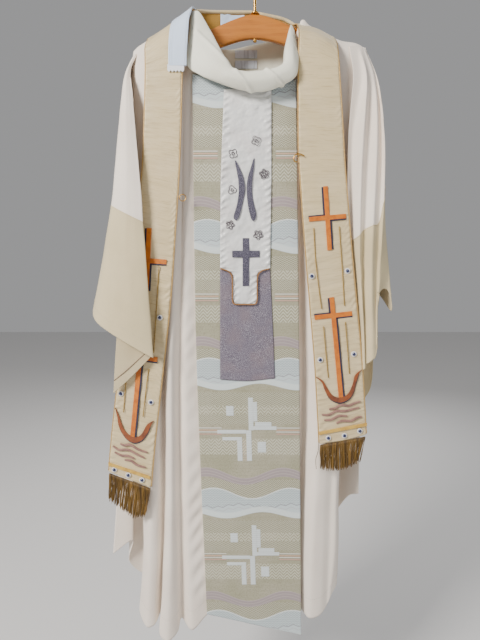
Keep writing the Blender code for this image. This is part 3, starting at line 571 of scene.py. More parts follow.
def soft_noise(x, y, seed):
    """Smooth random hills between -1 and 1 over a plane of unit cells."""
    def corner(i, j):
        value = np.sin(i * 127.1 + j * 311.7 + seed * 74.7) * 43758.5453
        return 2.0 * (value - np.floor(value)) - 1.0

    i = np.floor(x)
    j = np.floor(y)
    a = x - i
    b = y - j
    a = a * a * (3.0 - 2.0 * a)
    b = b * b * (3.0 - 2.0 * b)
    low = corner(i, j) * (1.0 - a) + corner(i + 1, j) * a
    high = corner(i, j + 1) * (1.0 - a) + corner(i + 1, j + 1) * a
    return low * (1.0 - b) + high * b


def surface_through(fold_lines, across, down):
    """Grid of points on the smooth cloth that passes through fold lines, each listed from the top."""
    lines = np.stack([curve_through(line, down + 1) for line in fold_lines])
    return np.transpose(curve_through(lines, across + 1), (1, 0, 2))


def cloth_lengths(surface):
    """Metres across and down the cloth at every grid point."""
    across = np.linalg.norm(np.diff(surface, axis=1), axis=2).mean(axis=0)
    down = np.linalg.norm(np.diff(surface, axis=0), axis=2).mean(axis=1)
    u = np.concatenate([[0.0], np.cumsum(across)])
    v = np.concatenate([[0.0], np.cumsum(down)])
    return np.meshgrid(u, v)


def facing(surface):
    """Unit normals on the cloth's outside."""
    along = np.gradient(surface, axis=1)
    fall = np.gradient(surface, axis=0)
    way = np.cross(fall, along)
    return way / np.maximum(np.linalg.norm(way, axis=2, keepdims=True), 1e-12)


def cloth_piece(name, surface, finish, thickness=0.0011, relief=None, placed=None):
    """Cloth of one thickness with its outside on the surface, after relief in metres is added."""
    u, v = cloth_lengths(surface)
    if relief is not None:
        surface = surface + facing(surface) * relief(u, v, surface)[..., None]
    rows, columns = surface.shape[:2]
    index = np.arange(rows * columns).reshape(rows, columns)
    faces = np.stack([index[:-1, :-1], index[1:, :-1], index[1:, 1:], index[:-1, 1:]], axis=-1)
    made = new_piece(name, surface.reshape(-1, 3), faces.reshape(-1, 4).tolist(), finish,
                     np.stack([u, v], axis=-1).reshape(-1, 2) if placed is None else placed)
    thick = made.modifiers.new("thickness", "SOLIDIFY")
    thick.thickness = thickness
    thick.offset = -1.0
    return made


def cut_of(surface):
    """The flat cut's width, length and area, for cloth that hangs without stretching."""
    widths = np.linalg.norm(np.diff(surface, axis=1), axis=2).sum(axis=1)
    down = np.linalg.norm(np.diff(surface, axis=0), axis=2).sum(axis=0).max()
    cells = np.cross(surface[1:, 1:] - surface[:-1, :-1], surface[1:, :-1] - surface[:-1, 1:])
    area = 0.5 * np.linalg.norm(cells, axis=2).sum()
    across = widths.max() if area > 0.33 * widths.max() * down else widths.mean()
    return {"flat": (float(across), float(down)), "area": float(min(area, across * down))}


def body_relief(u, v, surface):
    """Soft hanging creases, long down the cloth and short across it."""
    hanging = soft_noise(u / 0.03, v / 0.33, 3) * 0.0011 + soft_noise(u / 0.012, v / 0.15, 5) * 0.0004
    slack = soft_noise(u / 0.09 + v / 0.16, v / 0.09, 8) * 0.0012
    return hanging + slack


SEAM_PUCKER_TOP = -0.86


def pucker_relief(u, v, surface):
    """Body creases with drawn-up diagonal puckers beside the orphrey seam."""
    x = surface[..., 0]
    z = surface[..., 2]
    seam = -0.121 + np.clip((-0.6 - z) / 0.72, 0.0, 1.0) * 0.018
    near = np.exp(-((x - seam + 0.014) / 0.013) ** 2)
    started = np.clip((SEAM_PUCKER_TOP - z) / 0.2, 0.0, 1.0) * np.clip((z + 1.3) / 0.06, 0.0, 1.0)
    faint = np.clip((-0.35 - z) / 0.3, 0.0, 1.0) * 0.35 * np.clip((z + 1.3) / 0.06, 0.0, 1.0)
    wander = soft_noise(x / 0.05, z / 0.07, 21) * 1.6
    wave = np.sin(2.0 * math.pi * (z / 0.043 - x / 0.055) + wander)
    return body_relief(u, v, surface) + near * np.maximum(started, faint) * wave * 0.0021


ivory = cloth_finish("ivory_cloth", colour(244, 233, 220), colour(230, 214, 200))
FRONT_LEFT = [
    [(-0.236, -0.005, -0.142), (-0.239, -0.02, -0.159), (-0.24, -0.026, -0.24), (-0.24, -0.022, -0.42),
     (-0.24, -0.018, -0.62), (-0.236, -0.014, -0.8), (-0.228, -0.01, -1.0), (-0.226, -0.008, -1.17),
     (-0.234, -0.004, -1.29)],
    [(-0.226, -0.005, -0.135), (-0.228, -0.026, -0.151), (-0.234, -0.04, -0.24), (-0.24, -0.042, -0.42),
     (-0.242, -0.042, -0.62), (-0.242, -0.038, -0.8), (-0.238, -0.036, -1.0), (-0.237, -0.036, -1.17),
     (-0.25, -0.032, -1.312)],
    [(-0.205, -0.005, -0.1255), (-0.207, -0.028, -0.14), (-0.213, -0.047, -0.24), (-0.216, -0.051, -0.42),
     (-0.218, -0.054, -0.62), (-0.217, -0.056, -0.8), (-0.218, -0.059, -1.0), (-0.222, -0.061, -1.17),
     (-0.232, -0.06, -1.336)],
    [(-0.188, -0.005, -0.12), (-0.19, -0.029, -0.134), (-0.194, -0.048, -0.24), (-0.194, -0.05, -0.42),
     (-0.196, -0.053, -0.62), (-0.198, -0.055, -0.8), (-0.2, -0.057, -1.0), (-0.205, -0.058, -1.17),
     (-0.213, -0.058, -1.334)],
    [(-0.172, -0.005, -0.111), (-0.174, -0.03, -0.126), (-0.176, -0.047, -0.24), (-0.177, -0.045, -0.42),
     (-0.182, -0.042, -0.62), (-0.186, -0.04, -0.8), (-0.19, -0.039, -1.0), (-0.196, -0.038, -1.17),
     (-0.203, -0.038, -1.322)],
    [(-0.16, -0.005, -0.105), (-0.162, -0.03, -0.12), (-0.163, -0.05, -0.24), (-0.165, -0.053, -0.42),
     (-0.172, -0.056, -0.62), (-0.179, -0.057, -0.8), (-0.182, -0.057, -1.0), (-0.188, -0.059, -1.17),
     (-0.202, -0.061, -1.352)],
    [(-0.15, -0.005, -0.1), (-0.152, -0.03, -0.116), (-0.153, -0.051, -0.24), (-0.156, -0.055, -0.42),
     (-0.163, -0.061, -0.62), (-0.17, -0.063, -0.8), (-0.172, -0.063, -1.0), (-0.176, -0.066, -1.17),
     (-0.184, -0.07, -1.362)],
    [(-0.141, -0.005, -0.096), (-0.143, -0.03, -0.113), (-0.145, -0.05, -0.24), (-0.149, -0.053, -0.42),
     (-0.156, -0.056, -0.62), (-0.163, -0.057, -0.8), (-0.164, -0.056, -1.0), (-0.165, -0.057, -1.17),
     (-0.165, -0.058, -1.351)],
    [(-0.132, -0.005, -0.092), (-0.134, -0.03, -0.111), (-0.138, -0.048, -0.24), (-0.143, -0.048, -0.42),
     (-0.149, -0.046, -0.62), (-0.155, -0.044, -0.8), (-0.156, -0.042, -1.0), (-0.156, -0.041, -1.17),
     (-0.157, -0.04, -1.332)],
    [(-0.125, -0.044, -0.14), (-0.125, -0.046, -0.175), (-0.13, -0.049, -0.26), (-0.135, -0.05, -0.42),
     (-0.139, -0.051, -0.62), (-0.141, -0.052, -0.8), (-0.14, -0.052, -1.0), (-0.138, -0.053, -1.17),
     (-0.133, -0.056, -1.348)],
    [(-0.104, -0.045, -0.165), (-0.108, -0.046, -0.205), (-0.118, -0.048, -0.27), (-0.119, -0.048, -0.42),
     (-0.118, -0.047, -0.62), (-0.117, -0.047, -0.8), (-0.113, -0.047, -1.0), (-0.109, -0.047, -1.17),
     (-0.104, -0.047, -1.322)],
    [(-0.075, -0.046, -0.192), (-0.078, -0.047, -0.232), (-0.09, -0.049, -0.3), (-0.095, -0.049, -0.42),
     (-0.095, -0.049, -0.62), (-0.094, -0.049, -0.8), (-0.092, -0.049, -1.0), (-0.09, -0.049, -1.17),
     (-0.088, -0.048, -1.311)],
    [(-0.012, -0.046, -0.222), (-0.012, -0.047, -0.262), (-0.012, -0.049, -0.34), (-0.012, -0.049, -0.48),
     (-0.012, -0.049, -0.62), (-0.012, -0.049, -0.8), (-0.012, -0.049, -1.0), (-0.012, -0.049, -1.17),
     (-0.012, -0.048, -1.323)],
]
FRONT_RIGHT = [
    [(-0.011, -0.046, -0.222), (-0.011, -0.047, -0.262), (-0.011, -0.049, -0.34), (-0.011, -0.049, -0.48),
     (-0.011, -0.049, -0.62), (-0.011, -0.049, -0.8), (-0.011, -0.049, -1.0), (-0.011, -0.049, -1.17),
     (-0.011, -0.048, -1.323)],
    [(0.035, -0.046, -0.212), (0.04, -0.047, -0.25), (0.05, -0.049, -0.32), (0.055, -0.049, -0.45),
     (0.058, -0.049, -0.62), (0.06, -0.049, -0.8), (0.062, -0.049, -1.0), (0.062, -0.049, -1.17),
     (0.062, -0.048, -1.34)],
    [(0.06, -0.046, -0.18), (0.063, -0.047, -0.22), (0.074, -0.049, -0.28), (0.079, -0.048, -0.42),
     (0.084, -0.047, -0.62), (0.088, -0.046, -0.8), (0.092, -0.045, -1.0), (0.095, -0.044, -1.17),
     (0.099, -0.042, -1.33)],
    [(0.073, -0.046, -0.145), (0.076, -0.046, -0.18), (0.085, -0.046, -0.26), (0.09, -0.04, -0.42),
     (0.097, -0.034, -0.62), (0.101, -0.031, -0.8), (0.099, -0.029, -1.0), (0.098, -0.029, -1.17),
     (0.102, -0.03, -1.316)],
    [(0.088, -0.005, -0.095), (0.09, -0.03, -0.111), (0.097, -0.046, -0.24), (0.104, -0.046, -0.42),
     (0.116, -0.046, -0.62), (0.121, -0.046, -0.8), (0.11, -0.044, -1.0), (0.103, -0.043, -1.17),
     (0.105, -0.042, -1.311)],
    [(0.105, -0.005, -0.103), (0.107, -0.03, -0.118), (0.115, -0.048, -0.24), (0.124, -0.052, -0.42),
     (0.134, -0.055, -0.62), (0.138, -0.057, -0.8), (0.128, -0.057, -1.0), (0.121, -0.056, -1.17),
     (0.12, -0.054, -1.322)],
    [(0.125, -0.005, -0.113), (0.128, -0.03, -0.128), (0.138, -0.049, -0.24), (0.146, -0.052, -0.42),
     (0.154, -0.053, -0.62), (0.155, -0.054, -0.8), (0.146, -0.054, -1.0), (0.142, -0.052, -1.17),
     (0.142, -0.05, -1.318)],
    [(0.145, -0.005, -0.122), (0.148, -0.03, -0.136), (0.16, -0.047, -0.24), (0.168, -0.048, -0.42),
     (0.174, -0.048, -0.62), (0.17, -0.048, -0.8), (0.162, -0.046, -1.0), (0.16, -0.043, -1.17),
     (0.158, -0.041, -1.303)],
    [(0.165, -0.005, -0.128), (0.168, -0.028, -0.142), (0.18, -0.048, -0.24), (0.188, -0.05, -0.42),
     (0.19, -0.049, -0.62), (0.184, -0.045, -0.8), (0.175, -0.044, -1.0), (0.174, -0.042, -1.17),
     (0.168, -0.038, -1.281)],
    [(0.195, -0.005, -0.1325), (0.198, -0.025, -0.147), (0.205, -0.04, -0.24), (0.21, -0.04, -0.42),
     (0.206, -0.036, -0.62), (0.195, -0.03, -0.8), (0.182, -0.028, -1.0), (0.184, -0.028, -1.17),
     (0.183, -0.026, -1.258)],
    [(0.216, -0.005, -0.142), (0.218, -0.02, -0.156), (0.221, -0.028, -0.24), (0.221, -0.026, -0.42),
     (0.216, -0.022, -0.62), (0.196, -0.014, -0.8), (0.177, -0.012, -1.0), (0.175, -0.012, -1.17),
     (0.174, -0.012, -1.24)],
]
BACK_LEFT = [
    [(-0.012, 0.049, -0.114), (-0.012, 0.05, -0.15), (-0.012, 0.05, -0.26), (-0.012, 0.05, -0.42),
     (-0.012, 0.05, -0.62), (-0.012, 0.05, -0.8), (-0.012, 0.05, -1.0), (-0.012, 0.05, -1.17),
     (-0.012, 0.05, -1.3)],
    [(-0.06, 0.049, -0.122), (-0.062, 0.05, -0.152), (-0.07, 0.05, -0.26), (-0.078, 0.05, -0.42),
     (-0.086, 0.05, -0.62), (-0.09, 0.05, -0.8), (-0.092, 0.049, -1.0), (-0.092, 0.048, -1.17),
     (-0.092, 0.048, -1.3)],
    [(-0.105, 0.046, -0.11), (-0.107, 0.05, -0.142), (-0.112, 0.051, -0.25), (-0.12, 0.052, -0.42),
     (-0.127, 0.053, -0.62), (-0.133, 0.054, -0.8), (-0.136, 0.056, -1.0), (-0.138, 0.058, -1.17),
     (-0.141, 0.06, -1.3)],
    [(-0.132, 0.005, -0.092), (-0.133, 0.03, -0.112), (-0.138, 0.048, -0.24), (-0.146, 0.047, -0.42),
     (-0.154, 0.045, -0.62), (-0.16, 0.042, -0.8), (-0.164, 0.04, -1.0), (-0.166, 0.038, -1.17),
     (-0.168, 0.036, -1.292)],
    [(-0.16, 0.005, -0.105), (-0.161, 0.03, -0.12), (-0.167, 0.05, -0.24), (-0.176, 0.051, -0.42),
     (-0.186, 0.053, -0.62), (-0.194, 0.055, -0.8), (-0.2, 0.057, -1.0), (-0.205, 0.06, -1.17),
     (-0.21, 0.063, -1.29)],
    [(-0.186, 0.005, -0.118), (-0.188, 0.029, -0.132), (-0.194, 0.046, -0.24), (-0.203, 0.044, -0.42),
     (-0.215, 0.042, -0.62), (-0.225, 0.04, -0.8), (-0.231, 0.037, -1.0), (-0.233, 0.034, -1.17),
     (-0.235, 0.032, -1.28)],
    [(-0.205, 0.005, -0.1255), (-0.207, 0.028, -0.14), (-0.214, 0.045, -0.24), (-0.226, 0.047, -0.42),
     (-0.236, 0.046, -0.62), (-0.247, 0.044, -0.8), (-0.254, 0.04, -1.0), (-0.256, 0.036, -1.14),
     (-0.258, 0.034, -1.277)],
    [(-0.22, 0.005, -0.1325), (-0.222, 0.024, -0.147), (-0.229, 0.038, -0.24), (-0.24, 0.038, -0.42),
     (-0.249, 0.034, -0.62), (-0.262, 0.028, -0.8), (-0.272, 0.022, -1.0), (-0.277, 0.02, -1.12),
     (-0.283, 0.02, -1.238)],
    [(-0.23, 0.005, -0.1375), (-0.233, 0.02, -0.153), (-0.238, 0.03, -0.24), (-0.248, 0.026, -0.42),
     (-0.253, 0.022, -0.62), (-0.262, 0.014, -0.8), (-0.267, 0.008, -1.0), (-0.268, 0.006, -1.09),
     (-0.271, 0.006, -1.18)],
    [(-0.237, 0.005, -0.142), (-0.241, 0.014, -0.16), (-0.244, 0.02, -0.24), (-0.25, 0.014, -0.42),
     (-0.256, 0.01, -0.62), (-0.28, 0.006, -0.8), (-0.296, 0.002, -1.0), (-0.304, 0.0, -1.1),
     (-0.314, 0.0, -1.208)],
]
BACK_RIGHT = [
    [(0.217, 0.005, -0.1425), (0.22, 0.02, -0.157), (0.223, 0.028, -0.24), (0.225, 0.026, -0.4),
     (0.228, 0.022, -0.56), (0.232, 0.018, -0.72), (0.234, 0.014, -0.86), (0.235, 0.012, -0.97),
     (0.236, 0.012, -1.072)],
    [(0.2, 0.005, -0.1345), (0.203, 0.024, -0.149), (0.208, 0.038, -0.24), (0.212, 0.038, -0.4),
     (0.214, 0.036, -0.56), (0.216, 0.036, -0.72), (0.216, 0.034, -0.88), (0.216, 0.032, -1.0),
     (0.216, 0.03, -1.088)],
    [(0.178, 0.005, -0.13), (0.181, 0.026, -0.145), (0.188, 0.045, -0.24), (0.194, 0.05, -0.4),
     (0.199, 0.052, -0.58), (0.2, 0.054, -0.76), (0.199, 0.056, -0.93), (0.197, 0.057, -1.05),
     (0.196, 0.058, -1.14)],
    [(0.145, 0.005, -0.122), (0.148, 0.029, -0.136), (0.158, 0.047, -0.24), (0.166, 0.046, -0.42),
     (0.174, 0.044, -0.6), (0.176, 0.042, -0.78), (0.174, 0.04, -0.96), (0.172, 0.038, -1.08),
     (0.17, 0.036, -1.18)],
    [(0.115, 0.005, -0.108), (0.118, 0.03, -0.123), (0.128, 0.05, -0.24), (0.136, 0.052, -0.42),
     (0.142, 0.054, -0.62), (0.145, 0.055, -0.8), (0.146, 0.057, -0.98), (0.147, 0.059, -1.12),
     (0.147, 0.062, -1.232)],
    [(0.088, 0.005, -0.095), (0.09, 0.03, -0.111), (0.097, 0.049, -0.23), (0.104, 0.047, -0.42),
     (0.112, 0.045, -0.62), (0.116, 0.044, -0.8), (0.118, 0.042, -0.99), (0.119, 0.041, -1.15),
     (0.12, 0.04, -1.275)],
    [(0.07, 0.046, -0.108), (0.073, 0.05, -0.14), (0.076, 0.051, -0.25), (0.082, 0.051, -0.42),
     (0.088, 0.051, -0.62), (0.091, 0.052, -0.8), (0.092, 0.053, -1.0), (0.092, 0.054, -1.17),
     (0.092, 0.055, -1.298)],
    [(0.03, 0.049, -0.112), (0.032, 0.05, -0.15), (0.034, 0.05, -0.26), (0.038, 0.05, -0.42),
     (0.04, 0.05, -0.62), (0.042, 0.05, -0.8), (0.042, 0.05, -1.0), (0.042, 0.05, -1.17),
     (0.042, 0.05, -1.3)],
    [(-0.011, 0.049, -0.113), (-0.011, 0.05, -0.15), (-0.011, 0.05, -0.26), (-0.011, 0.05, -0.42),
     (-0.011, 0.05, -0.62), (-0.011, 0.05, -0.8), (-0.011, 0.05, -1.0), (-0.011, 0.05, -1.17),
     (-0.011, 0.05, -1.3)],
]


def stitch_run(name, route, finish, stitch=0.0032, gap=0.0013, radius=0.00035):
    """Row of small raised stitches that follows a route of points on the cloth."""
    route = np.asarray(route, float)
    run = np.concatenate([[0.0], np.cumsum(np.linalg.norm(np.diff(route, axis=0), axis=1))])
    points = []
    faces = []
    start = 0.0
    while start + stitch < run[-1]:
        marks = start + np.array([0.0, 0.15, 0.5, 0.85, 1.0]) * stitch
        centre = np.stack([np.interp(marks, run, route[:, k]) for k in range(3)], axis=1)
        bead_points, bead_faces = sweep(centre, np.array([0.3, 0.85, 1.0, 0.85, 0.3]) * radius, 5)
        faces += [tuple(len(points) + k for k in face) for face in bead_faces]
        points += bead_points
        start += stitch + gap
    return new_piece(name, points, faces, finish)


def hem_route(surface, rise, lift=0.0003):
    """Points on the cloth's outside a fixed distance above its lower edge."""
    u, v = cloth_lengths(surface)
    row = int(np.argmin(np.abs(v[:, 0] - (v.max() - rise))))
    return surface[row] + facing(surface)[row] * lift


ivory_thread = Finish("ivory_thread", colour(222, 212, 200), 0.6)
ROWS_DOWN_CLOTH = 300
HEM_STITCH_HEIGHT = 0.038
for name, node, folds, across, relief in (
    ("front_cloth_left", "chasuble_front_left", FRONT_LEFT, 150, pucker_relief),
    ("front_cloth_right", "chasuble_front_right", FRONT_RIGHT, 130, body_relief),
    ("back_cloth_left", "chasuble_back_left", BACK_LEFT, 110, body_relief),
    ("back_cloth_right", "chasuble_back_right", BACK_RIGHT, 100, body_relief),
):
    surface = surface_through(folds, across, ROWS_DOWN_CLOTH)
    cloth = cloth_piece(name, surface, ivory, relief=relief)
    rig.replaces(cloth, node)
    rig.slot(cloth, "chasuble_cloth")
    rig.ride(cloth, "garment")
    u, v = cloth_lengths(surface)
    creased = surface + facing(surface) * relief(u, v, surface)[..., None]
    stitches = stitch_run(name + "_hem_stitches", hem_route(creased, HEM_STITCH_HEIGHT), ivory_thread)
    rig.slot(stitches, "chasuble_cloth")
    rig.ride(stitches, "garment")
    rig.sheet(cloth, **cut_of(surface), held="hung", rests_on=["wooden_yoke"], with_pieces=[stitches])


# ------------------------------------------------------------------ orphreys
# Hand-woven wool and cotton strips laid over the centre seams, front and back: olive-beige twill
# with pale wave bands, a mauve wave, thin side stripes and offset white crosses low on the strip.
ORPHREY_REPEAT = 0.2755
FIRST_STRIPES = 0.3525
CROSS_PLACE = 0.103


def wave_line(across, middle, swing, crest, pitch):
    """Height of a woven wave: lowest at the crest's place across the strip."""
    return (((across - crest) * (2.0 * math.pi / pitch) + math.pi / 2.0).sine() * -swing) + middle


def block(across, down, left, right, top, bottom, soft=0.0005):
    return across.within(left, right, soft) * down.within(top, bottom, soft)


def union(threads):
    joined = threads[0]
    for thread in threads[1:]:
        joined = joined.most(thread)
    return joined


weave = Finish("orphrey_weave", colour(164, 161, 136), 0.82)
across, fallen = weave.cloth_place()
down = ((fallen - (FIRST_STRIPES - 0.0845)) / ORPHREY_REPEAT).part() * ORPHREY_REPEAT - 0.0845
light = colour(206, 204, 184)
dark = colour(124, 120, 96)
weave.tint(weave.noise(14.0, 3.0).step(0.3, 0.7) * 0.35, colour(200, 190, 176))
picks = (fallen * (2.0 * math.pi / 0.003)).sine()
weave.tint(picks.step(0.0, 1.0) * 0.34, dark)
weave.tint(weave.noise(420.0, 2.0).step(0.48, 0.62) * 0.35, dark)
fine_twill = ((fallen + across.zigzag(0.0085) * 0.0042) * (2.0 * math.pi / 0.0042)).sine().step(-0.1, 0.7)
bold_twill = ((fallen + across.zigzag(0.016) * 0.009) * (2.0 * math.pi / 0.0068)).sine().step(-0.1, 0.6)
fine_bands = union([down.within(-0.08, -0.052, 0.001), down.within(-0.034, -0.013, 0.001),
                    down.within(0.106, 0.15, 0.001)])
bold_bands = union([down.within(0.018, 0.052, 0.001), down.within(-0.052, -0.034, 0.001)])
weave.tint(fine_twill * fine_bands * 0.8, light)
weave.tint(bold_twill * bold_bands * 0.85, light)
weave.tint(fine_twill.step(0.9, 0.1) * fine_bands * 0.5, dark)
sides = (across.step(0.048, 0.046).most(across.step(0.158, 0.161)))
for line, tone in ((-0.005, (224, 222, 214)), (-0.0005, (214, 168, 144)), (0.0035, (226, 222, 216)),
                   (0.008, (206, 158, 146))):
    weave.tint(down.within(line - 0.001, line + 0.001, 0.0005) * sides * 0.85, colour(*tone))
    weave.tint(down.within(line + 0.001, line + 0.0021, 0.0004) * sides * 0.6, dark)
mauve_top = down - wave_line(across, 0.0905, 0.0115, 0.012, 0.16)
mauve_foot = down - wave_line(across, 0.1075, 0.009, 0.012, 0.16)
mauve = mauve_top.step(0.0, 0.0012) * mauve_foot.step(0.0012, 0.0)
weave.tint(mauve * 0.85, colour(160, 146, 150))
weave.tint(mauve * ((mauve_top * (2.0 * math.pi / 0.0062)).sine()).step(0.5, 1.0) * 0.6,
    colour(190, 178, 174))
wave_top = down - wave_line(across, 0.1345, 0.0115, 0.026, 0.16)
wave_middle = down - (wave_line(across, 0.16, 0.0035, 0.08, 0.11) + across.zigzag(0.022) * 0.0045)
wave_foot = down - (wave_line(across, 0.1835, -0.007, 0.05, 0.155))
wave_band = wave_top.step(0.0, 0.0012) * wave_foot.step(0.0012, 0.0)
weave.tint(wave_band, colour(196, 207, 209))
net = (((across.zigzag(0.0062) * 0.0036 + fallen) * (2.0 * math.pi / 0.005)).sine()).step(0.1, 0.8)
upper_half = wave_band * wave_middle.step(0.0, -0.001)
weave.tint(upper_half * net * 0.8, colour(158, 170, 174))
weave.tint(wave_band * wave_middle.within(0.0, 0.0016, 0.0006) * 0.85, colour(132, 128, 138))
weave.tint(wave_band * wave_middle.within(0.0085, 0.0098, 0.0006) * 0.5, colour(172, 160, 168))
weave.tint(wave_band * wave_foot.step(-0.014, -0.01) * 0.8, colour(218, 226, 224))
weave.tint(wave_band * wave_top.step(0.0035, 0.0015), colour(228, 232, 230))
low_enough = fallen.step(0.795, 0.797)
beside = across - CROSS_PLACE
cross_weave = union([
    block(beside, down, 0.0, 0.0098, -0.069, 0.0),
    block(beside, down, 0.0098, 0.018, -0.06, -0.019),
    block(beside, down, 0.013, 0.0467, -0.0175, -0.0085),
    block(beside, down, 0.0, 0.057, -0.0085, -0.001),
    block(beside, down, -0.065, -0.0054, -0.001, 0.0067),
    block(beside, down, -0.055, -0.0145, 0.0143, 0.0212),
    block(beside, down, -0.0245, -0.0145, 0.0212, 0.0653),
    block(beside, down, -0.0054, 0.005, 0.0, 0.0653),
    block(beside, down, -0.0456, -0.0303, -0.0515, -0.031),
    block(beside, down, 0.0175, 0.0346, 0.0243, 0.047),
]) * low_enough
weave.tint(cross_weave * 0.95, colour(216, 223, 224))
weave.tint(cross_weave * ((fallen * (2.0 * math.pi / 0.0046)).sine()).step(0.6, 1.0) * 0.45,
    colour(176, 178, 180))
pink_lines = block(beside, down, -0.0145, -0.0054, 0.02, 0.0653) * low_enough
weave.tint(pink_lines * ((fallen * (2.0 * math.pi / 0.005)).sine()).step(0.0, 0.8) * 0.6,
    colour(206, 180, 160))
raised = wave_band * 0.8 + cross_weave * 0.9 + mauve * 0.3
weave.emboss(raised + picks * 0.1 + fine_twill * fine_bands * 0.35 + bold_twill * bold_bands * 0.45
             + upper_half * net * 0.35, 0.55, 0.0011)
weave.emboss((across * (math.pi / 0.0008)).sine() * (fallen * (math.pi / 0.0008)).sine(), 0.25, 0.0004)
weave.set(sheen_weight=0.15, specular_ior_level=0.25)


def strip_relief(u, v, surface):
    return soft_noise(u / 0.075, v / 0.16, 31) * 0.0009 + soft_noise(u / 0.03, v / 0.045, 32) * 0.0003


for name, node, level, left_edge, right_edge, flip in (
    ("front_orphrey_strip", "front_orphrey", -0.0545,
     [(-0.12, -0.205), (-0.118, -0.74), (-0.101, -1.313)],
     [(0.077, -0.215), (0.09, -0.74), (0.103, -1.361)], False),
    ("back_orphrey_strip", "back_orphrey", 0.057,
     [(0.09, -0.172), (0.092, -0.74), (0.094, -1.306)],
     [(-0.112, -0.172), (-0.114, -0.74), (-0.116, -1.306)], True),
):
    lines = []
    for share in (0.0, 0.5, 1.0):
        sag = -0.008 * math.sin(math.pi * share) * (not flip)
        lines.append([(a[0] + (b[0] - a[0]) * share, level, a[1] + (b[1] - a[1]) * share + sag * (i < 2))
                      for i, (a, b) in enumerate(zip(left_edge, right_edge))])
    surface = surface_through(lines, 96, 440)
    placed = np.stack([np.abs(surface[..., 0] - surface[:, :1, 0]), -surface[..., 2]], axis=-1).reshape(-1,
        2)
    strip = cloth_piece(name, surface, weave, 0.0016, strip_relief, placed)
    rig.replaces(strip, node)
    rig.slot(strip, "orphrey_weave")
    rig.ride(strip, "garment")
    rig.sheet(strip, **cut_of(surface), held="hung")


# ------------------------------------------------------------------ satin panel and lamé panel
# White satin appliqué machine-sewn onto the orphrey, drawn up into small puckers by its stitching;
# its tab overlaps a square of glittering grey-violet lamé.
satin = Finish("white_satin", colour(228, 228, 226), 0.3)
# Soft pinkish patches on the white satin are painted warm shade.
satin.tint(satin.noise(26.0, 3.0).step(0.42, 0.72) * 0.35, colour(214, 203, 200))
satin.emboss(satin.noise(46.0, 2.0, (1.0, 1.0, 1.3)), 0.9, 0.006)
satin.emboss(satin.noise(900.0, 2.0, (0.05, 1.0, 1.0)), 0.1, 0.0003)
satin.rough(satin.noise(60.0, 3.0), 0.22, 0.38)
satin.set(sheen_weight=0.2, specular_ior_level=0.5)


def satin_relief(u, v, surface):
    """Drawn puckers: short waves along both sewn edges, soft dents between them."""
    width = u.max()
    x = surface[..., 0]
    left = x - surface[:, :1, 0]
    right = surface[:, -1:, 0] - x
    edge = np.exp(-(np.minimum(left, right) / 0.011) ** 2)
    slanted = np.sin(2.0 * math.pi * (v / 0.0135 + np.where(left < right, left, -right) / 0.03)
                     + soft_noise(u / 0.03, v / 0.035, 41) * 2.4)
    dents = soft_noise(u / 0.024 + v / 0.05, v / 0.026, 43) * 0.0017 + soft_noise(u / 0.011, v / 0.013,
        44) * 0.0004
    fade = np.clip(np.minimum(left, right) / 0.003, 0.0, 1.0)
    return np.clip(edge * slanted * 0.0016 * (0.35 + 0.65 * fade) + dents * fade + 0.0004, -0.0002, 0.0034)


def side_by_height(points, heights):
    """x of an edge, listed downward as (x, z), at each height."""
    listed = np.asarray(sorted(points, key=lambda p: p[1]))
    return np.interp(heights, listed[:, 1], listed[:, 0])


heights = np.linspace(-0.234, -0.642, 340)
satin_left = side_by_height([(-0.06, -0.234), (-0.064, -0.33), (-0.067, -0.4), (-0.069, -0.571),
                             (-0.046, -0.579), (-0.0435, -0.586), (-0.0435, -0.636), (-0.04, -0.642)],
                             heights)
satin_right = side_by_height([(0.03, -0.234), (0.031, -0.4), (0.03, -0.571), (0.006, -0.579),
                              (0.0035, -0.586), (0.0035, -0.636), (0.0, -0.642)], heights)
shares = np.linspace(0.0, 1.0, 90)
satin_surface = np.zeros((len(heights), len(shares), 3))
satin_surface[..., 0] = satin_left[:, None] * (1.0 - shares) + satin_right[:, None] * shares
satin_surface[..., 1] = -0.0568
satin_surface[..., 2] = heights[:, None]
panel = cloth_piece("satin_applique", satin_surface, satin, 0.0007, satin_relief)
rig.replaces(panel, "satin_panel")
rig.slot(panel, "satin")
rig.ride(panel, "garment")
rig.sheet(panel, flat=(0.099, 0.408), held="laid")

lame = Finish("grey_lame", colour(110, 102, 118), 0.46, metallic=0.2)
# Pale specks are painted glints of the lamé's metal threads; the dark specks are its woven ground.
speck_and_glint = lame.noise(1500.0, 2.0)
lame.tint(speck_and_glint.step(0.55, 0.66), colour(206, 200, 206))
lame.tint(speck_and_glint.step(0.44, 0.36) * 0.8, colour(66, 58, 70))
lame.tint(lame.noise(30.0, 2.0).step(0.4, 0.7) * 0.4, colour(140, 122, 126))
lame.emboss(lame.noise(1100.0, 2.0), 0.55, 0.0006)
lame.rough(speck_and_glint, 0.3, 0.55)


def lame_relief(u, v, surface):
    return soft_noise(u / 0.028, v / 0.03, 51) * 0.0003 + 0.0002


lame_lines = [[(-0.069, -0.0559, -0.573), (-0.0696, -0.0559, -0.68), (-0.07, -0.0559, -0.796)],
              [(-0.014, -0.0559, -0.573), (-0.014, -0.0559, -0.68), (-0.014, -0.0559, -0.7995)],
              [(0.03, -0.0559, -0.573), (0.036, -0.0559, -0.68), (0.0415, -0.0559, -0.794)]]
lame_surface = surface_through(lame_lines, 40, 80)
patch = cloth_piece("lame_square", lame_surface, lame, 0.0006, lame_relief)
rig.replaces(patch, "lame_panel")
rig.slot(patch, "lame")
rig.ride(patch, "garment")
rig.sheet(patch, flat=(0.108, 0.224), held="laid")
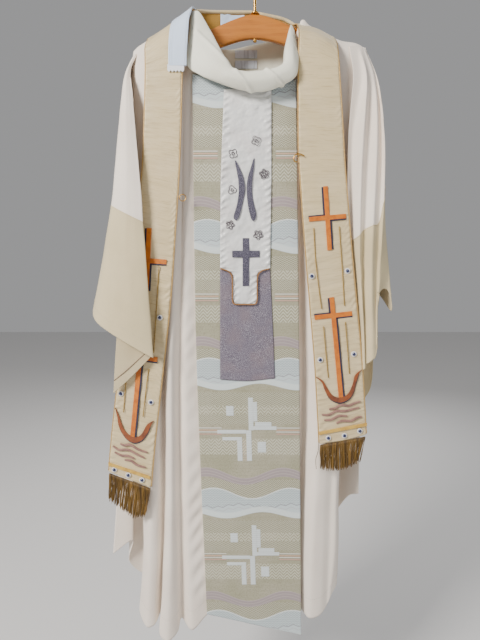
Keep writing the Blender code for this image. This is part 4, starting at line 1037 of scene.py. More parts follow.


# ------------------------------------------------------------------ tab cord
# Brown twisted cord couched round the satin tab with small overcast stitches.
def twisted_cord(name, route, radius, pitch, finish, strands=3, sides=6, per_turn=8):
    """Strands wound round each other along a route."""
    route = np.asarray(route, float)
    run = np.concatenate([[0.0], np.cumsum(np.linalg.norm(np.diff(route, axis=0), axis=1))])
    samples = max(8, int(run[-1] / pitch * per_turn))
    at = np.linspace(0.0, run[-1], samples)
    core = np.stack([np.interp(at, run, route[:, k]) for k in range(3)], axis=1)
    heading = np.gradient(core, axis=0)
    heading /= np.linalg.norm(heading, axis=1)[:, None]
    side = np.cross(heading, np.array([0.0, -1.0, 0.0]))
    side /= np.maximum(np.linalg.norm(side, axis=1)[:, None], 1e-9)
    other = np.cross(heading, side)
    points = []
    faces = []
    for strand in range(strands):
        turn = (2.0 * math.pi * (at / pitch + strand / strands))[:, None]
        path = core + (side * np.cos(turn) + other * np.sin(turn)) * radius * 0.52
        more_points, more_faces = sweep(path, radius * 0.55, sides)
        faces += [tuple(len(points) + k for k in face) for face in more_faces]
        points += more_points
    return new_piece(name, points, faces, finish)


cord_thread = Finish("cord_thread", colour(158, 112, 62), 0.5)
cord_thread.tint(cord_thread.noise(700.0, 2.0).step(0.4, 0.7) * 0.5, colour(108, 68, 34))
cord_route = curve_through([(-0.068, -0.0592, -0.5728), (-0.056, -0.0594, -0.5762),
    (-0.0475, -0.0596, -0.5825),
                            (-0.0448, -0.0596, -0.593), (-0.0445, -0.0596, -0.615),
                            (-0.0444, -0.0596, -0.634),
                            (-0.04, -0.0596, -0.6425), (-0.02, -0.0596, -0.6432), (0.0, -0.0596, -0.6425),
                            (0.0044, -0.0596, -0.634), (0.0045, -0.0596, -0.615), (0.0048, -0.0596, -0.593),
                            (0.0075, -0.0596, -0.5825), (0.015, -0.0594, -0.5762),
                            (0.028, -0.0592, -0.5728)], 240)
cord = twisted_cord("tab_edge_cord", cord_route, 0.0014, 0.0048, cord_thread)
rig.replaces(cord, "tab_cord")
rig.slot(cord, "cord")
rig.ride(cord, "garment")


# ------------------------------------------------------------------ glitter cross, leaf strokes and flowers
# Cut from dark glitter fabric and fused on; the little flowers are outlined in running stitch.
def raised_shape(name, outline, front, depth, finish, round_edge=0.0004):
    """Flat shape from (x, z) points with a rounded front edge."""
    builder = bmesh.new()
    corners = [builder.verts.new((x, front, z)) for x, z in outline]
    face = builder.faces.new(corners)
    face.normal_update()
    if face.normal.y > 0.0:
        face.normal_flip()
    raised_faces = bmesh.ops.extrude_face_region(builder, geom=[face])
    for element in raised_faces["geom"]:
        if isinstance(element, bmesh.types.BMVert):
            element.co.y += depth
    bmesh.ops.recalc_face_normals(builder, faces=builder.faces[:])
    mesh = bpy.data.meshes.new(name)
    builder.to_mesh(mesh)
    builder.free()
    mesh.materials.append(finish.material)
    mesh.shade_smooth()
    made = bpy.data.objects.new(name, mesh)
    bpy.context.scene.collection.objects.link(made)
    bevel = made.modifiers.new("rounded", "BEVEL")
    bevel.width = round_edge
    bevel.segments = 2
    bevel.limit_method = "ANGLE"
    bevel.harden_normals = True
    return made


def cross_shape(height, bar, drop, thick, top, tilt):
    """Outline of a Latin cross hung from its top middle, turned by tilt degrees."""
    t = thick / 2.0
    b = bar / 2.0
    plain = [(-t, 0.0), (-t, -drop + t), (-b, -drop + t), (-b, -drop - t), (-t, -drop - t), (-t, -height),
             (t, -height), (t, -drop - t), (b, -drop - t), (b, -drop + t), (t, -drop + t), (t, 0.0)]
    c = math.cos(math.radians(tilt))
    s = math.sin(math.radians(tilt))
    return [(top[0] + x * c - z * s, top[1] + x * s + z * c) for x, z in plain]


glitter = Finish("dark_glitter", colour(62, 58, 76), 0.42, metallic=0.2)
# Pale flecks are painted glints of the glitter; the dark flecks are its ground.
flake_and_glint = glitter.noise(1700.0, 1.0)
glitter.tint(flake_and_glint.step(0.56, 0.66), colour(176, 172, 190))
glitter.tint(flake_and_glint.step(0.44, 0.36), colour(36, 34, 50))
glitter.emboss(glitter.noise(1300.0, 2.0), 0.7, 0.0007)
small_cross = raised_shape("glitter_cross_shape", cross_shape(0.094, 0.054, 0.031, 0.013, (-0.018, -0.513),
    0.0),
                           -0.0594, 0.0014, glitter)
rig.replaces(small_cross, "glitter_cross")
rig.slot(small_cross, "glitter")
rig.ride(small_cross, "garment")
for name, node, spine in (
    ("leaf_stroke_left", "leaf_left",
     [(-0.0385, -0.366, 0.001), (-0.033, -0.382, 0.003), (-0.0275, -0.402, 0.0045),
     (-0.0262, -0.424, 0.0048),
      (-0.03, -0.448, 0.0044), (-0.0345, -0.464, 0.0046), (-0.0372, -0.474, 0.004),
      (-0.0372, -0.479, 0.001)]),
    ("leaf_stroke_right", "leaf_right",
     [(-0.0025, -0.362, 0.0008), (-0.006, -0.38, 0.0026), (-0.0105, -0.402, 0.004),
     (-0.0115, -0.424, 0.0042),
      (-0.0085, -0.448, 0.0048), (-0.005, -0.464, 0.0052), (-0.0035, -0.474, 0.004),
      (-0.004, -0.48, 0.001)]),
):
    bow = curve_through(spine, 40)
    outline = [(x - half * 1.25, z) for x, z, half in bow] + [(x + half * 1.25, z) for x, z,
        half in reversed(bow)]
    stroke = raised_shape(name, outline, -0.0594, 0.0014, glitter)
    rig.replaces(stroke, node)
    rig.slot(stroke, "glitter")
    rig.ride(stroke, "garment")

flower_thread = Finish("flower_thread", colour(86, 76, 84), 0.6)
for number, (x, z, size, petals, dense) in enumerate((
    (-0.043, -0.353, 0.0088, 4, False), (0.001, -0.329, 0.009, 4, False), (0.017, -0.391, 0.0096, 5, True),
    (-0.045, -0.421, 0.0086, 3, False), (-0.049, -0.488, 0.009, 5, True), (0.006, -0.507, 0.0098, 5, True),
), start=1):
    turn = np.linspace(0.0, 2.0 * math.pi, 97)[:-1]
    rings = [1.0, 0.34] + [0.72] * dense
    points = []
    faces = []
    for ring in rings:
        reach = size * ring * (0.6 + 0.4 * np.abs(np.cos(petals * turn / 2.0)))
        path = np.stack([x + reach * np.cos(turn + number), np.full(96, -0.0588),
            z + reach * np.sin(turn + number)],
                        axis=1)
        more_points, more_faces = sweep(path, 0.0006, 6, closed=True)
        faces += [tuple(len(points) + k for k in face) for face in more_faces]
        points += more_points
    flower = new_piece("stitched_flower_%d" % number, points, faces, flower_thread)
    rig.slot(flower, "glitter")
    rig.ride(flower, "garment")


# ------------------------------------------------------------------ sleeves
# Each wide sleeve is one width of the ivory cloth falling from the shoulder point, with a broad
# cream band seamed to it; the front edge rolls back on itself and the left cuff is folded under.
cream_band = cloth_finish("cream_band_cloth", colour(214, 198, 160), colour(192, 178, 138), 0.84, 0.001,
    0.32, 0.5)
band_thread = Finish("band_thread", colour(206, 196, 172), 0.6)


def sleeve_relief(u, v):
    long_folds = soft_noise(u / 0.022, v / 0.3, 61) * 0.0014 + soft_noise(u / 0.009, v / 0.12, 62) * 0.0003
    creases = soft_noise(u / 0.045 - v / 0.13, v / 0.05, 63) * 0.0009
    return long_folds + creases


SEAM_STATION = 5
LEFT_SLEEVE = [
    [(-0.218, 0.023, -0.146), (-0.23, 0.048, -0.205), (-0.232, 0.058, -0.262), (-0.235, 0.062, -0.335),
     (-0.238, 0.064, -0.4), (-0.24, 0.065, -0.476), (-0.243, 0.066, -0.53), (-0.246, 0.068, -0.6),
     (-0.248, 0.069, -0.66), (-0.249, 0.07, -0.73)],
    [(-0.228, 0.015, -0.142), (-0.2465, 0.036, -0.205), (-0.2525, 0.046, -0.262), (-0.26, 0.051, -0.335),
     (-0.267, 0.053, -0.4), (-0.274, 0.054, -0.462), (-0.286, 0.056, -0.52), (-0.294, 0.058, -0.58),
     (-0.301, 0.058, -0.64), (-0.306, 0.058, -0.7)],
    [(-0.232, 0.006, -0.1395), (-0.253, 0.008, -0.205), (-0.26, 0.008, -0.262), (-0.269, 0.008, -0.335),
     (-0.276, 0.008, -0.395), (-0.2845, 0.008, -0.448), (-0.297, 0.008, -0.505), (-0.308, 0.008, -0.56),
     (-0.319, 0.008, -0.615), (-0.3275, 0.008, -0.664)],
    [(-0.2325, -0.007, -0.1395), (-0.2535, -0.022, -0.205), (-0.2605, -0.03, -0.262),
    (-0.2695, -0.034, -0.335),
     (-0.2765, -0.034, -0.395), (-0.2845, -0.034, -0.447), (-0.296, -0.036, -0.502),
     (-0.307, -0.036, -0.557),
     (-0.319, -0.036, -0.612), (-0.329, -0.036, -0.658)],
    [(-0.231, -0.014, -0.143), (-0.251, -0.04, -0.205), (-0.256, -0.06, -0.262), (-0.262, -0.072, -0.338),
     (-0.268, -0.076, -0.4), (-0.274, -0.077, -0.454), (-0.284, -0.079, -0.52), (-0.293, -0.081, -0.58),
     (-0.301, -0.081, -0.635), (-0.308, -0.08, -0.678)],
    [(-0.229, -0.019, -0.147), (-0.245, -0.046, -0.2), (-0.244, -0.074, -0.262), (-0.243, -0.088, -0.345),
     (-0.244, -0.09, -0.412), (-0.246, -0.09, -0.469), (-0.251, -0.092, -0.535), (-0.256, -0.094, -0.6),
     (-0.26, -0.096, -0.655), (-0.263, -0.097, -0.706)],
    [(-0.226, -0.023, -0.15), (-0.2385, -0.043, -0.195), (-0.23, -0.073, -0.262), (-0.222, -0.088, -0.35),
     (-0.2175, -0.09, -0.42), (-0.215, -0.091, -0.484), (-0.2115, -0.092, -0.545), (-0.208, -0.095, -0.62),
     (-0.2045, -0.098, -0.685), (-0.2015, -0.0995, -0.741)],
    [(-0.2262, -0.0215, -0.1502), (-0.2392, -0.039, -0.195), (-0.2306, -0.069, -0.262),
    (-0.2228, -0.0835, -0.35),
     (-0.2184, -0.0855, -0.42), (-0.216, -0.0865, -0.484), (-0.2128, -0.0875, -0.545),
     (-0.2096, -0.089, -0.62),
     (-0.2066, -0.0905, -0.685), (-0.204, -0.0915, -0.738)],
    [(-0.227, -0.02, -0.15), (-0.243, -0.035, -0.194), (-0.238, -0.064, -0.262), (-0.231, -0.08, -0.35),
     (-0.2275, -0.0825, -0.42), (-0.2255, -0.083, -0.484), (-0.2235, -0.0845, -0.545),
     (-0.2215, -0.0855, -0.62),
     (-0.2195, -0.0865, -0.682), (-0.2175, -0.087, -0.728)],
]
RIGHT_SLEEVE = [
    [(0.182, -0.029, -0.145), (0.185, -0.054, -0.205), (0.181, -0.06, -0.262), (0.177, -0.062, -0.33),
     (0.177, -0.063, -0.4), (0.179, -0.064, -0.52), (0.185, -0.065, -0.578), (0.193, -0.066, -0.64),
     (0.2, -0.066, -0.706), (0.207, -0.066, -0.776)],
    [(0.194, -0.026, -0.144), (0.201, -0.05, -0.208), (0.193, -0.057, -0.27), (0.187, -0.059, -0.33),
     (0.185, -0.06, -0.4), (0.187, -0.062, -0.519), (0.1945, -0.064, -0.58), (0.202, -0.065, -0.645),
     (0.208, -0.066, -0.706), (0.213, -0.066, -0.775)],
    [(0.202, -0.024, -0.144), (0.2095, -0.056, -0.206), (0.206, -0.07, -0.268), (0.2015, -0.075, -0.33),
     (0.1995, -0.077, -0.4), (0.2, -0.077, -0.509), (0.203, -0.077, -0.57), (0.2085, -0.077, -0.64),
     (0.2135, -0.076, -0.7), (0.2175, -0.075, -0.77)],
    [(0.207, -0.021, -0.1435), (0.2165, -0.046, -0.204), (0.2165, -0.057, -0.264), (0.215, -0.063, -0.33),
     (0.213, -0.066, -0.4), (0.211, -0.067, -0.498), (0.2105, -0.067, -0.56), (0.2125, -0.067, -0.63),
     (0.216, -0.067, -0.692), (0.22, -0.068, -0.764)],
    [(0.211, -0.018, -0.143), (0.225, -0.042, -0.202), (0.2285, -0.063, -0.262), (0.2285, -0.074, -0.33),
     (0.227, -0.078, -0.4), (0.225, -0.079, -0.49), (0.2245, -0.079, -0.55), (0.226, -0.079, -0.62),
     (0.2285, -0.079, -0.684), (0.2305, -0.079, -0.752)],
    [(0.214, -0.015, -0.142), (0.2305, -0.037, -0.2), (0.236, -0.055, -0.262), (0.24, -0.064, -0.33),
     (0.24, -0.068, -0.4), (0.239, -0.069, -0.484), (0.238, -0.069, -0.54), (0.237, -0.07, -0.605),
     (0.2385, -0.073, -0.668), (0.24, -0.076, -0.733)],
    [(0.216, -0.012, -0.141), (0.2335, -0.036, -0.2), (0.239, -0.06, -0.262), (0.243, -0.072, -0.33),
     (0.245, -0.075, -0.39), (0.246, -0.073, -0.44), (0.2455, -0.072, -0.49), (0.244, -0.072, -0.54),
     (0.243, -0.072, -0.586), (0.2405, -0.073, -0.63)],
    [(0.2175, -0.008, -0.14), (0.2365, -0.025, -0.2), (0.243, -0.043, -0.262), (0.2475, -0.054, -0.33),
     (0.25, -0.058, -0.37), (0.2515, -0.058, -0.412), (0.2535, -0.058, -0.46), (0.2565, -0.059, -0.51),
     (0.261, -0.06, -0.566), (0.2615, -0.06, -0.614)],
    [(0.218, -0.002, -0.1395), (0.2375, -0.008, -0.202), (0.244, -0.014, -0.268), (0.249, -0.02, -0.335),
     (0.252, -0.025, -0.37), (0.2535, -0.03, -0.405), (0.256, -0.035, -0.468), (0.2605, -0.042, -0.54),
     (0.267, -0.048, -0.6), (0.2735, -0.055, -0.656)],
    [(0.216, 0.012, -0.142), (0.235, 0.026, -0.205), (0.243, 0.036, -0.268), (0.248, 0.041, -0.335),
     (0.2505, 0.038, -0.385), (0.252, 0.03, -0.43), (0.2535, 0.02, -0.48), (0.2545, 0.01, -0.53),
     (0.2555, 0.002, -0.584), (0.256, -0.006, -0.636)],
    [(0.211, 0.017, -0.144), (0.225, 0.037, -0.205), (0.23, 0.045, -0.268), (0.233, 0.05, -0.335),
     (0.236, 0.052, -0.395), (0.24, 0.05, -0.455), (0.245, 0.044, -0.54), (0.251, 0.036, -0.64),
     (0.256, 0.028, -0.73), (0.26, 0.024, -0.815)],
    [(0.204, 0.022, -0.147), (0.211, 0.046, -0.205), (0.215, 0.057, -0.268), (0.217, 0.062, -0.335),
     (0.219, 0.063, -0.4), (0.2205, 0.064, -0.48), (0.226, 0.058, -0.57), (0.234, 0.048, -0.67),
     (0.243, 0.04, -0.77), (0.25, 0.036, -0.862)],
]
for side, folds, across, nodes, shoulder in (
    ("left", LEFT_SLEEVE, 200, ("sleeve_left", "sleeve_band_left"), (-0.244, 0.0, -0.16)),
    ("right", RIGHT_SLEEVE, 220, ("sleeve_right", "sleeve_band_right"), (0.224, 0.0, -0.16)),
):
    rows = 270
    surface = surface_through(folds, across, rows)
    seam_row = rows * SEAM_STATION // 9
    u, v = cloth_lengths(surface)
    surface = surface + facing(surface) * sleeve_relief(u, v)[..., None]
    sleeve = cloth_piece("wide_sleeve_" + side, surface[:seam_row + 1], ivory)
    band = cloth_piece("cuff_band_" + side, surface[seam_row:], cream_band, 0.0013)
    hem = stitch_run("cuff_hem_stitches_" + side, hem_route(surface[seam_row:], 0.024), band_thread)
    seam_path = surface[seam_row] + facing(surface)[seam_row] * 0.0001
    seam = rod("band_seam_" + side, seam_path[::2], 0.0006, 6, cream_band)
    body = "sleeve_" + side
    for piece, node, material_slot in ((sleeve, nodes[0], "chasuble_cloth"),
        (band, nodes[1], "band_cloth")):
        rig.replaces(piece, node)
        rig.slot(piece, material_slot)
    for piece in (hem, seam):
        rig.slot(piece, "band_cloth")
        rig.ride(piece, body)
    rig.blend(sleeve, "garment", body, (shoulder[0], 0.0, shoulder[2]),
        (shoulder[0], 0.0, shoulder[2] - 0.085))
    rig.ride(band, body)
    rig.sheet(sleeve, **cut_of(surface[:seam_row + 1]), held="hung")
    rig.sheet(band, **cut_of(surface[seam_row:]), held="hung", with_pieces=[hem])

UNDER_CUFF = [
    [(-0.264, -0.0815, -0.64), (-0.27, -0.082, -0.7), (-0.2755, -0.0825, -0.76), (-0.28, -0.0822, -0.818)],
    [(-0.248, -0.083, -0.63), (-0.252, -0.0835, -0.69), (-0.2545, -0.084, -0.745),
    (-0.2565, -0.0835, -0.797)],
    [(-0.232, -0.0832, -0.62), (-0.233, -0.0835, -0.68), (-0.2325, -0.0838, -0.728),
    (-0.231, -0.0838, -0.772)],
    [(-0.218, -0.0828, -0.61), (-0.214, -0.0832, -0.665), (-0.209, -0.0836, -0.71),
    (-0.204, -0.0838, -0.744)],
]
under_surface = surface_through(UNDER_CUFF, 60, 80)
# The tucked-under fold takes a slightly darker copy of the band cloth: painted shade.
shaded_under_band = cloth_finish("cream_band_inside_painted_shade", colour(204, 188, 152), colour(184, 168, 132), 0.86, 0.001,
    0.32, 0.5)
under = cloth_piece("folded_cuff_left", under_surface, shaded_under_band, 0.0011,
                    lambda u, v, surface: soft_noise(u / 0.03, v / 0.08, 66) * 0.0006)
# The dark rod along the tucked-under fold's hem is a painted shadow line.
fold_line = hem_route(under_surface, 0.021, 0.0006)
hem_shadow_finish = Finish("hem_shadow_thread", colour(120, 96, 84), 0.8)
under_hem_shadow = rod("folded_cuff_hem_shadow", fold_line[::2], 0.0007, 6, hem_shadow_finish)
for piece in (under, under_hem_shadow):
    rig.slot(piece, "band_cloth")
    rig.ride(piece, "sleeve_left")
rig.replaces(under, "sleeve_under_left")
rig.sheet(under, **cut_of(under_surface), held="folded", with_pieces=[under_hem_shadow])


# ------------------------------------------------------------------ collar, neck facing and labels
# Deep roll collar of heavier cream cloth: it rises from the neckline seam, folds over at its rim
# and droops in front; behind it a flat facing carries two blank woven labels.
collar_cloth = cloth_finish("collar_cloth", colour(244, 243, 226), colour(222, 216, 196), 0.72, 0.0008, 0.2,
    0.4)


def collar_relief(u, v, surface):
    """Wide draped creases that run round the roll, and one sharper break each side of the middle."""
    x = surface[..., 0]
    middle = surface[..., 1] < -0.06
    drape = soft_noise(u / 0.05 + v / 0.09, v / 0.03, 71) * 0.0014 + soft_noise(u / 0.02, v / 0.016,
        72) * 0.0004
    left_break = np.exp(-((x + 0.03 + (surface[..., 2] + 0.222) * 0.9) / 0.0045) ** 2)
    right_break = np.exp(-((x - 0.033 + (surface[..., 2] + 0.222) * 1.3) / 0.004) ** 2)
    return drape + middle * (left_break * 0.003 + right_break * 0.0036 - 0.0006)


COLLAR = [
    [(-0.112, 0.0, -0.094), (-0.114, -0.001, -0.08), (-0.1195, -0.004, -0.0705), (-0.1245, -0.006, -0.0725),
     (-0.1275, -0.008, -0.081), (-0.126, -0.008, -0.092)],
    [(-0.104, -0.026, -0.11), (-0.104, -0.028, -0.095), (-0.108, -0.034, -0.086), (-0.121, -0.043, -0.105),
     (-0.129, -0.045, -0.142), (-0.1265, -0.042, -0.146)],
    [(-0.093, -0.042, -0.15), (-0.086, -0.046, -0.132), (-0.088, -0.054, -0.124), (-0.109, -0.068, -0.15),
     (-0.13, -0.064, -0.188), (-0.127, -0.058, -0.191)],
    [(-0.075, -0.045, -0.188), (-0.066, -0.056, -0.175), (-0.0675, -0.073, -0.167),
    (-0.087, -0.083, -0.189),
     (-0.106, -0.072, -0.212), (-0.103, -0.062, -0.213)],
    [(-0.048, -0.046, -0.212), (-0.044, -0.06, -0.21), (-0.047, -0.086, -0.2075), (-0.059, -0.0905, -0.219),
     (-0.072, -0.077, -0.228), (-0.07, -0.064, -0.2275)],
    [(-0.025, -0.046, -0.221), (-0.023, -0.062, -0.216), (-0.024, -0.088, -0.213), (-0.029, -0.092, -0.229),
     (-0.034, -0.078, -0.2415), (-0.033, -0.064, -0.2385)],
    [(0.005, -0.046, -0.219), (0.006, -0.062, -0.215), (0.006, -0.088, -0.2125), (0.008, -0.0925, -0.23),
     (0.01, -0.079, -0.2455), (0.01, -0.065, -0.242)],
    [(0.035, -0.046, -0.212), (0.035, -0.062, -0.21), (0.037, -0.087, -0.2065), (0.042, -0.0925, -0.222),
     (0.046, -0.081, -0.2365), (0.046, -0.066, -0.234)],
    [(0.05, -0.045, -0.196), (0.049, -0.06, -0.198), (0.052, -0.084, -0.195), (0.064, -0.0915, -0.205),
     (0.074, -0.084, -0.22), (0.072, -0.068, -0.218)],
    [(0.06, -0.043, -0.168), (0.054, -0.056, -0.17), (0.055, -0.076, -0.168), (0.068, -0.084, -0.176),
     (0.079, -0.078, -0.19), (0.0775, -0.064, -0.19)],
    [(0.066, -0.038, -0.142), (0.06, -0.044, -0.143), (0.0615, -0.057, -0.14), (0.07, -0.064, -0.148),
     (0.078, -0.061, -0.159), (0.077, -0.052, -0.16)],
    [(0.069, -0.024, -0.122), (0.066, -0.027, -0.116), (0.0675, -0.031, -0.112), (0.0715, -0.036, -0.118),
     (0.0755, -0.037, -0.127), (0.0745, -0.034, -0.129)],
    [(0.069, 0.0, -0.108), (0.0685, 0.0, -0.101), (0.07, -0.002, -0.094), (0.072, -0.004, -0.096),
     (0.074, -0.006, -0.101), (0.073, -0.006, -0.104)],
]
COLLAR_BACK = [
    [(0.07, -0.001, -0.094), (0.073, -0.001, -0.104)],
    [(0.07, 0.026, -0.094), (0.073, 0.028, -0.116)],
    [(0.062, 0.048, -0.092), (0.067, 0.053, -0.14)],
    [(0.03, 0.0555, -0.102), (0.032, 0.0595, -0.16)],
    [(-0.01, 0.057, -0.111), (-0.01, 0.06, -0.166)],
    [(-0.06, 0.056, -0.12), (-0.062, 0.0595, -0.16)],
    [(-0.098, 0.048, -0.108), (-0.101, 0.053, -0.14)],
    [(-0.111, 0.026, -0.084), (-0.116, 0.03, -0.11)],
    [(-0.112, -0.001, -0.08), (-0.117, -0.001, -0.096)],
]
NECK_FACING = [
    [(-0.098, 0.04, -0.118), (-0.096, 0.043, -0.145), (-0.092, 0.044, -0.178)],
    [(-0.05, 0.045, -0.1205), (-0.05, 0.045, -0.15), (-0.048, 0.045, -0.184)],
    [(-0.01, 0.0455, -0.1125), (-0.01, 0.0455, -0.15), (-0.01, 0.0455, -0.188)],
    [(0.03, 0.045, -0.104), (0.03, 0.045, -0.15), (0.03, 0.045, -0.184)],
    [(0.062, 0.04, -0.094), (0.061, 0.043, -0.14), (0.058, 0.044, -0.178)],
]
for name, node, folds, across, down, thickness, held in (
    ("roll_collar", "collar", COLLAR, 190, 80, 0.0016, "folded"),
    ("back_collar", "collar_back", COLLAR_BACK, 120, 30, 0.0016, "hung"),
    ("neck_facing_cloth", "neck_facing", NECK_FACING, 70, 30, 0.001, "hung"),
):
    surface = surface_through(folds, across, down)
    relief = collar_relief if node == "collar" else (lambda u, v,
        s: soft_noise(u / 0.03, v / 0.02, 73) * 0.0008)
    piece = cloth_piece(name, surface, collar_cloth, thickness, relief)
    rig.replaces(piece, node)
    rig.slot(piece, "collar_cloth")
    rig.ride(piece, "garment")
    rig.sheet(piece, **cut_of(surface), held=held)

label_weave = Finish("label_weave", colour(214, 222, 232), 0.7)
label_weave.tint(label_weave.noise(240.0, 2.0, (1.0, 1.0, 0.12)).step(0.45, 0.62) * 0.4,
    colour(140, 146, 158))
label_weave.emboss(label_weave.noise(900.0, 1.0, (1.0, 1.0, 0.2)), 0.3, 0.0003)
for name, node, top, foot in (("woven_label_upper", "label_upper", -0.1225, -0.1385),
                              ("woven_label_lower", "label_lower", -0.143, -0.159)):
    label = raised_shape(name, [(-0.04, top), (0.006, top), (0.006, foot), (-0.04, foot)],
                         0.0428, 0.0008, label_weave, 0.0003)
    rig.replaces(label, node)
    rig.slot(label, "label_weave")
    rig.ride(label, "garment")


# ------------------------------------------------------------------ stole silk, lining and piping
# Champagne silk dupion seamed at the centre back and lined with mustard cotton, edged with gold
# piping; stitching the interlining to the silk has drawn it into fine crosswise puckers.
silk = Finish("stole_silk", colour(214, 194, 150), 0.4)
silk.tint(silk.noise(520.0, 3.0, (0.05, 1.0, 1.0), "UV").step(0.52, 0.66) * 0.4, colour(170, 146, 102))
silk.tint(silk.noise(22.0, 3.0, (1.0, 1.0, 1.0), "UV").step(0.4, 0.7) * 0.4, colour(222, 204, 168))
silk.emboss(silk.noise(70.0, 3.0, (0.16, 1.0, 1.0), "UV"), 0.85, 0.0035)
silk.emboss(silk.noise(900.0, 2.0, (0.04, 1.0, 1.0), "UV"), 0.22, 0.0004)
silk.rough(silk.noise(40.0, 2.0), 0.38, 0.55)
silk.set(sheen_weight=0.25, specular_ior_level=0.45)
mustard = cloth_finish("mustard_lining", colour(186, 142, 66), colour(150, 108, 44), 0.8, 0.0008, 0.2, 0.3)
piping = Finish("gold_piping", colour(196, 158, 96), 0.42, metallic=0.25)
piping.emboss(piping.noise(900.0, 1.0), 0.4, 0.0005)


def evenly(surface, rows):
    """The same surface with its rows spaced evenly along its middle."""
    middle = surface[:, surface.shape[1] // 2]
    run = np.concatenate([[0.0], np.cumsum(np.linalg.norm(np.diff(middle, axis=0), axis=1))])
    at = np.linspace(0.0, run[-1], rows)
    out = np.zeros((rows,) + surface.shape[1:])
    for column in range(surface.shape[1]):
        for k in range(3):
            out[:, column, k] = np.interp(at, run, surface[:, column, k])
    return out


def silk_relief(u, v, surface):
    """Short crosswise puckers, strongest along the piped edges and low on the stole."""
    width = u.max()
    edge = np.minimum(u, width - u)
    near = np.exp(-(edge / 0.01) ** 2)
    hang = np.clip((-0.4 - surface[..., 2]) / 0.25, 0.0, 1.0)
    phase = v / 0.0125 + soft_noise(v / 0.04, u / 0.03, 81) * 1.5 + np.where(u < width / 2.0, 0.0, 0.37)
    ripple = np.sin(2.0 * math.pi * phase)
    across_folds = soft_noise(u / 0.06, v / 0.011, 82)
    wide_folds = soft_noise(u / 0.09, v / 0.034, 83)
    ends = np.clip(edge / 0.002, 0.0, 1.0)
    lift = (0.0004 + near * ripple * (0.0006 + 0.0008 * hang) + across_folds * (0.0006 + 0.0006 * hang)
            + wide_folds * 0.0011) * (0.3 + 0.7 * ends)
    return np.clip(lift, -0.0003, 0.0021)


STOLE_LEVEL = -0.0716
LEFT_STOLE = [
    [(-0.006, 0.083, -0.079), (-0.118, 0.074, -0.11), (-0.188, 0.044, -0.129), (-0.207, -0.004, -0.1215),
     (-0.208, -0.034, -0.1385), (-0.207, -0.059, -0.161), (-0.205, -0.07, -0.185),
     (-0.2052, STOLE_LEVEL, -0.215),
     (-0.209, STOLE_LEVEL, -0.296), (-0.215, STOLE_LEVEL, -0.386), (-0.23, STOLE_LEVEL, -0.49),
     (-0.248, STOLE_LEVEL, -0.6), (-0.2625, STOLE_LEVEL, -0.71), (-0.277, STOLE_LEVEL, -0.822),
     (-0.288, STOLE_LEVEL, -0.903), (-0.297, STOLE_LEVEL, -0.984)],
    [(-0.006, 0.079, -0.059), (-0.105, 0.064, -0.082), (-0.156, 0.044, -0.095), (-0.167, -0.006, -0.098),
     (-0.168, -0.036, -0.113), (-0.169, -0.06, -0.135), (-0.1705, -0.07, -0.168),
     (-0.1715, STOLE_LEVEL - 0.0003, -0.215), (-0.175, STOLE_LEVEL - 0.0003, -0.3),
     (-0.181, STOLE_LEVEL - 0.0003, -0.393), (-0.1925, STOLE_LEVEL - 0.0003, -0.498),
     (-0.2065, STOLE_LEVEL - 0.0003, -0.61), (-0.2205, STOLE_LEVEL - 0.0003, -0.72),
     (-0.2345, STOLE_LEVEL - 0.0003, -0.831), (-0.245, STOLE_LEVEL - 0.0003, -0.916),
     (-0.255, STOLE_LEVEL - 0.0003, -1.001)],
    [(-0.006, 0.064, -0.04), (-0.09, 0.054, -0.044), (-0.12, 0.032, -0.052), (-0.1255, -0.008, -0.067),
     (-0.1275, -0.038, -0.089), (-0.131, -0.06, -0.118), (-0.1355, -0.07, -0.162),
     (-0.1385, STOLE_LEVEL, -0.215),
     (-0.142, STOLE_LEVEL, -0.304), (-0.147, STOLE_LEVEL, -0.4), (-0.1555, STOLE_LEVEL, -0.506),
     (-0.165, STOLE_LEVEL, -0.62), (-0.178, STOLE_LEVEL, -0.73), (-0.192, STOLE_LEVEL, -0.84),
     (-0.203, STOLE_LEVEL, -0.929), (-0.2125, STOLE_LEVEL, -1.018)],
]
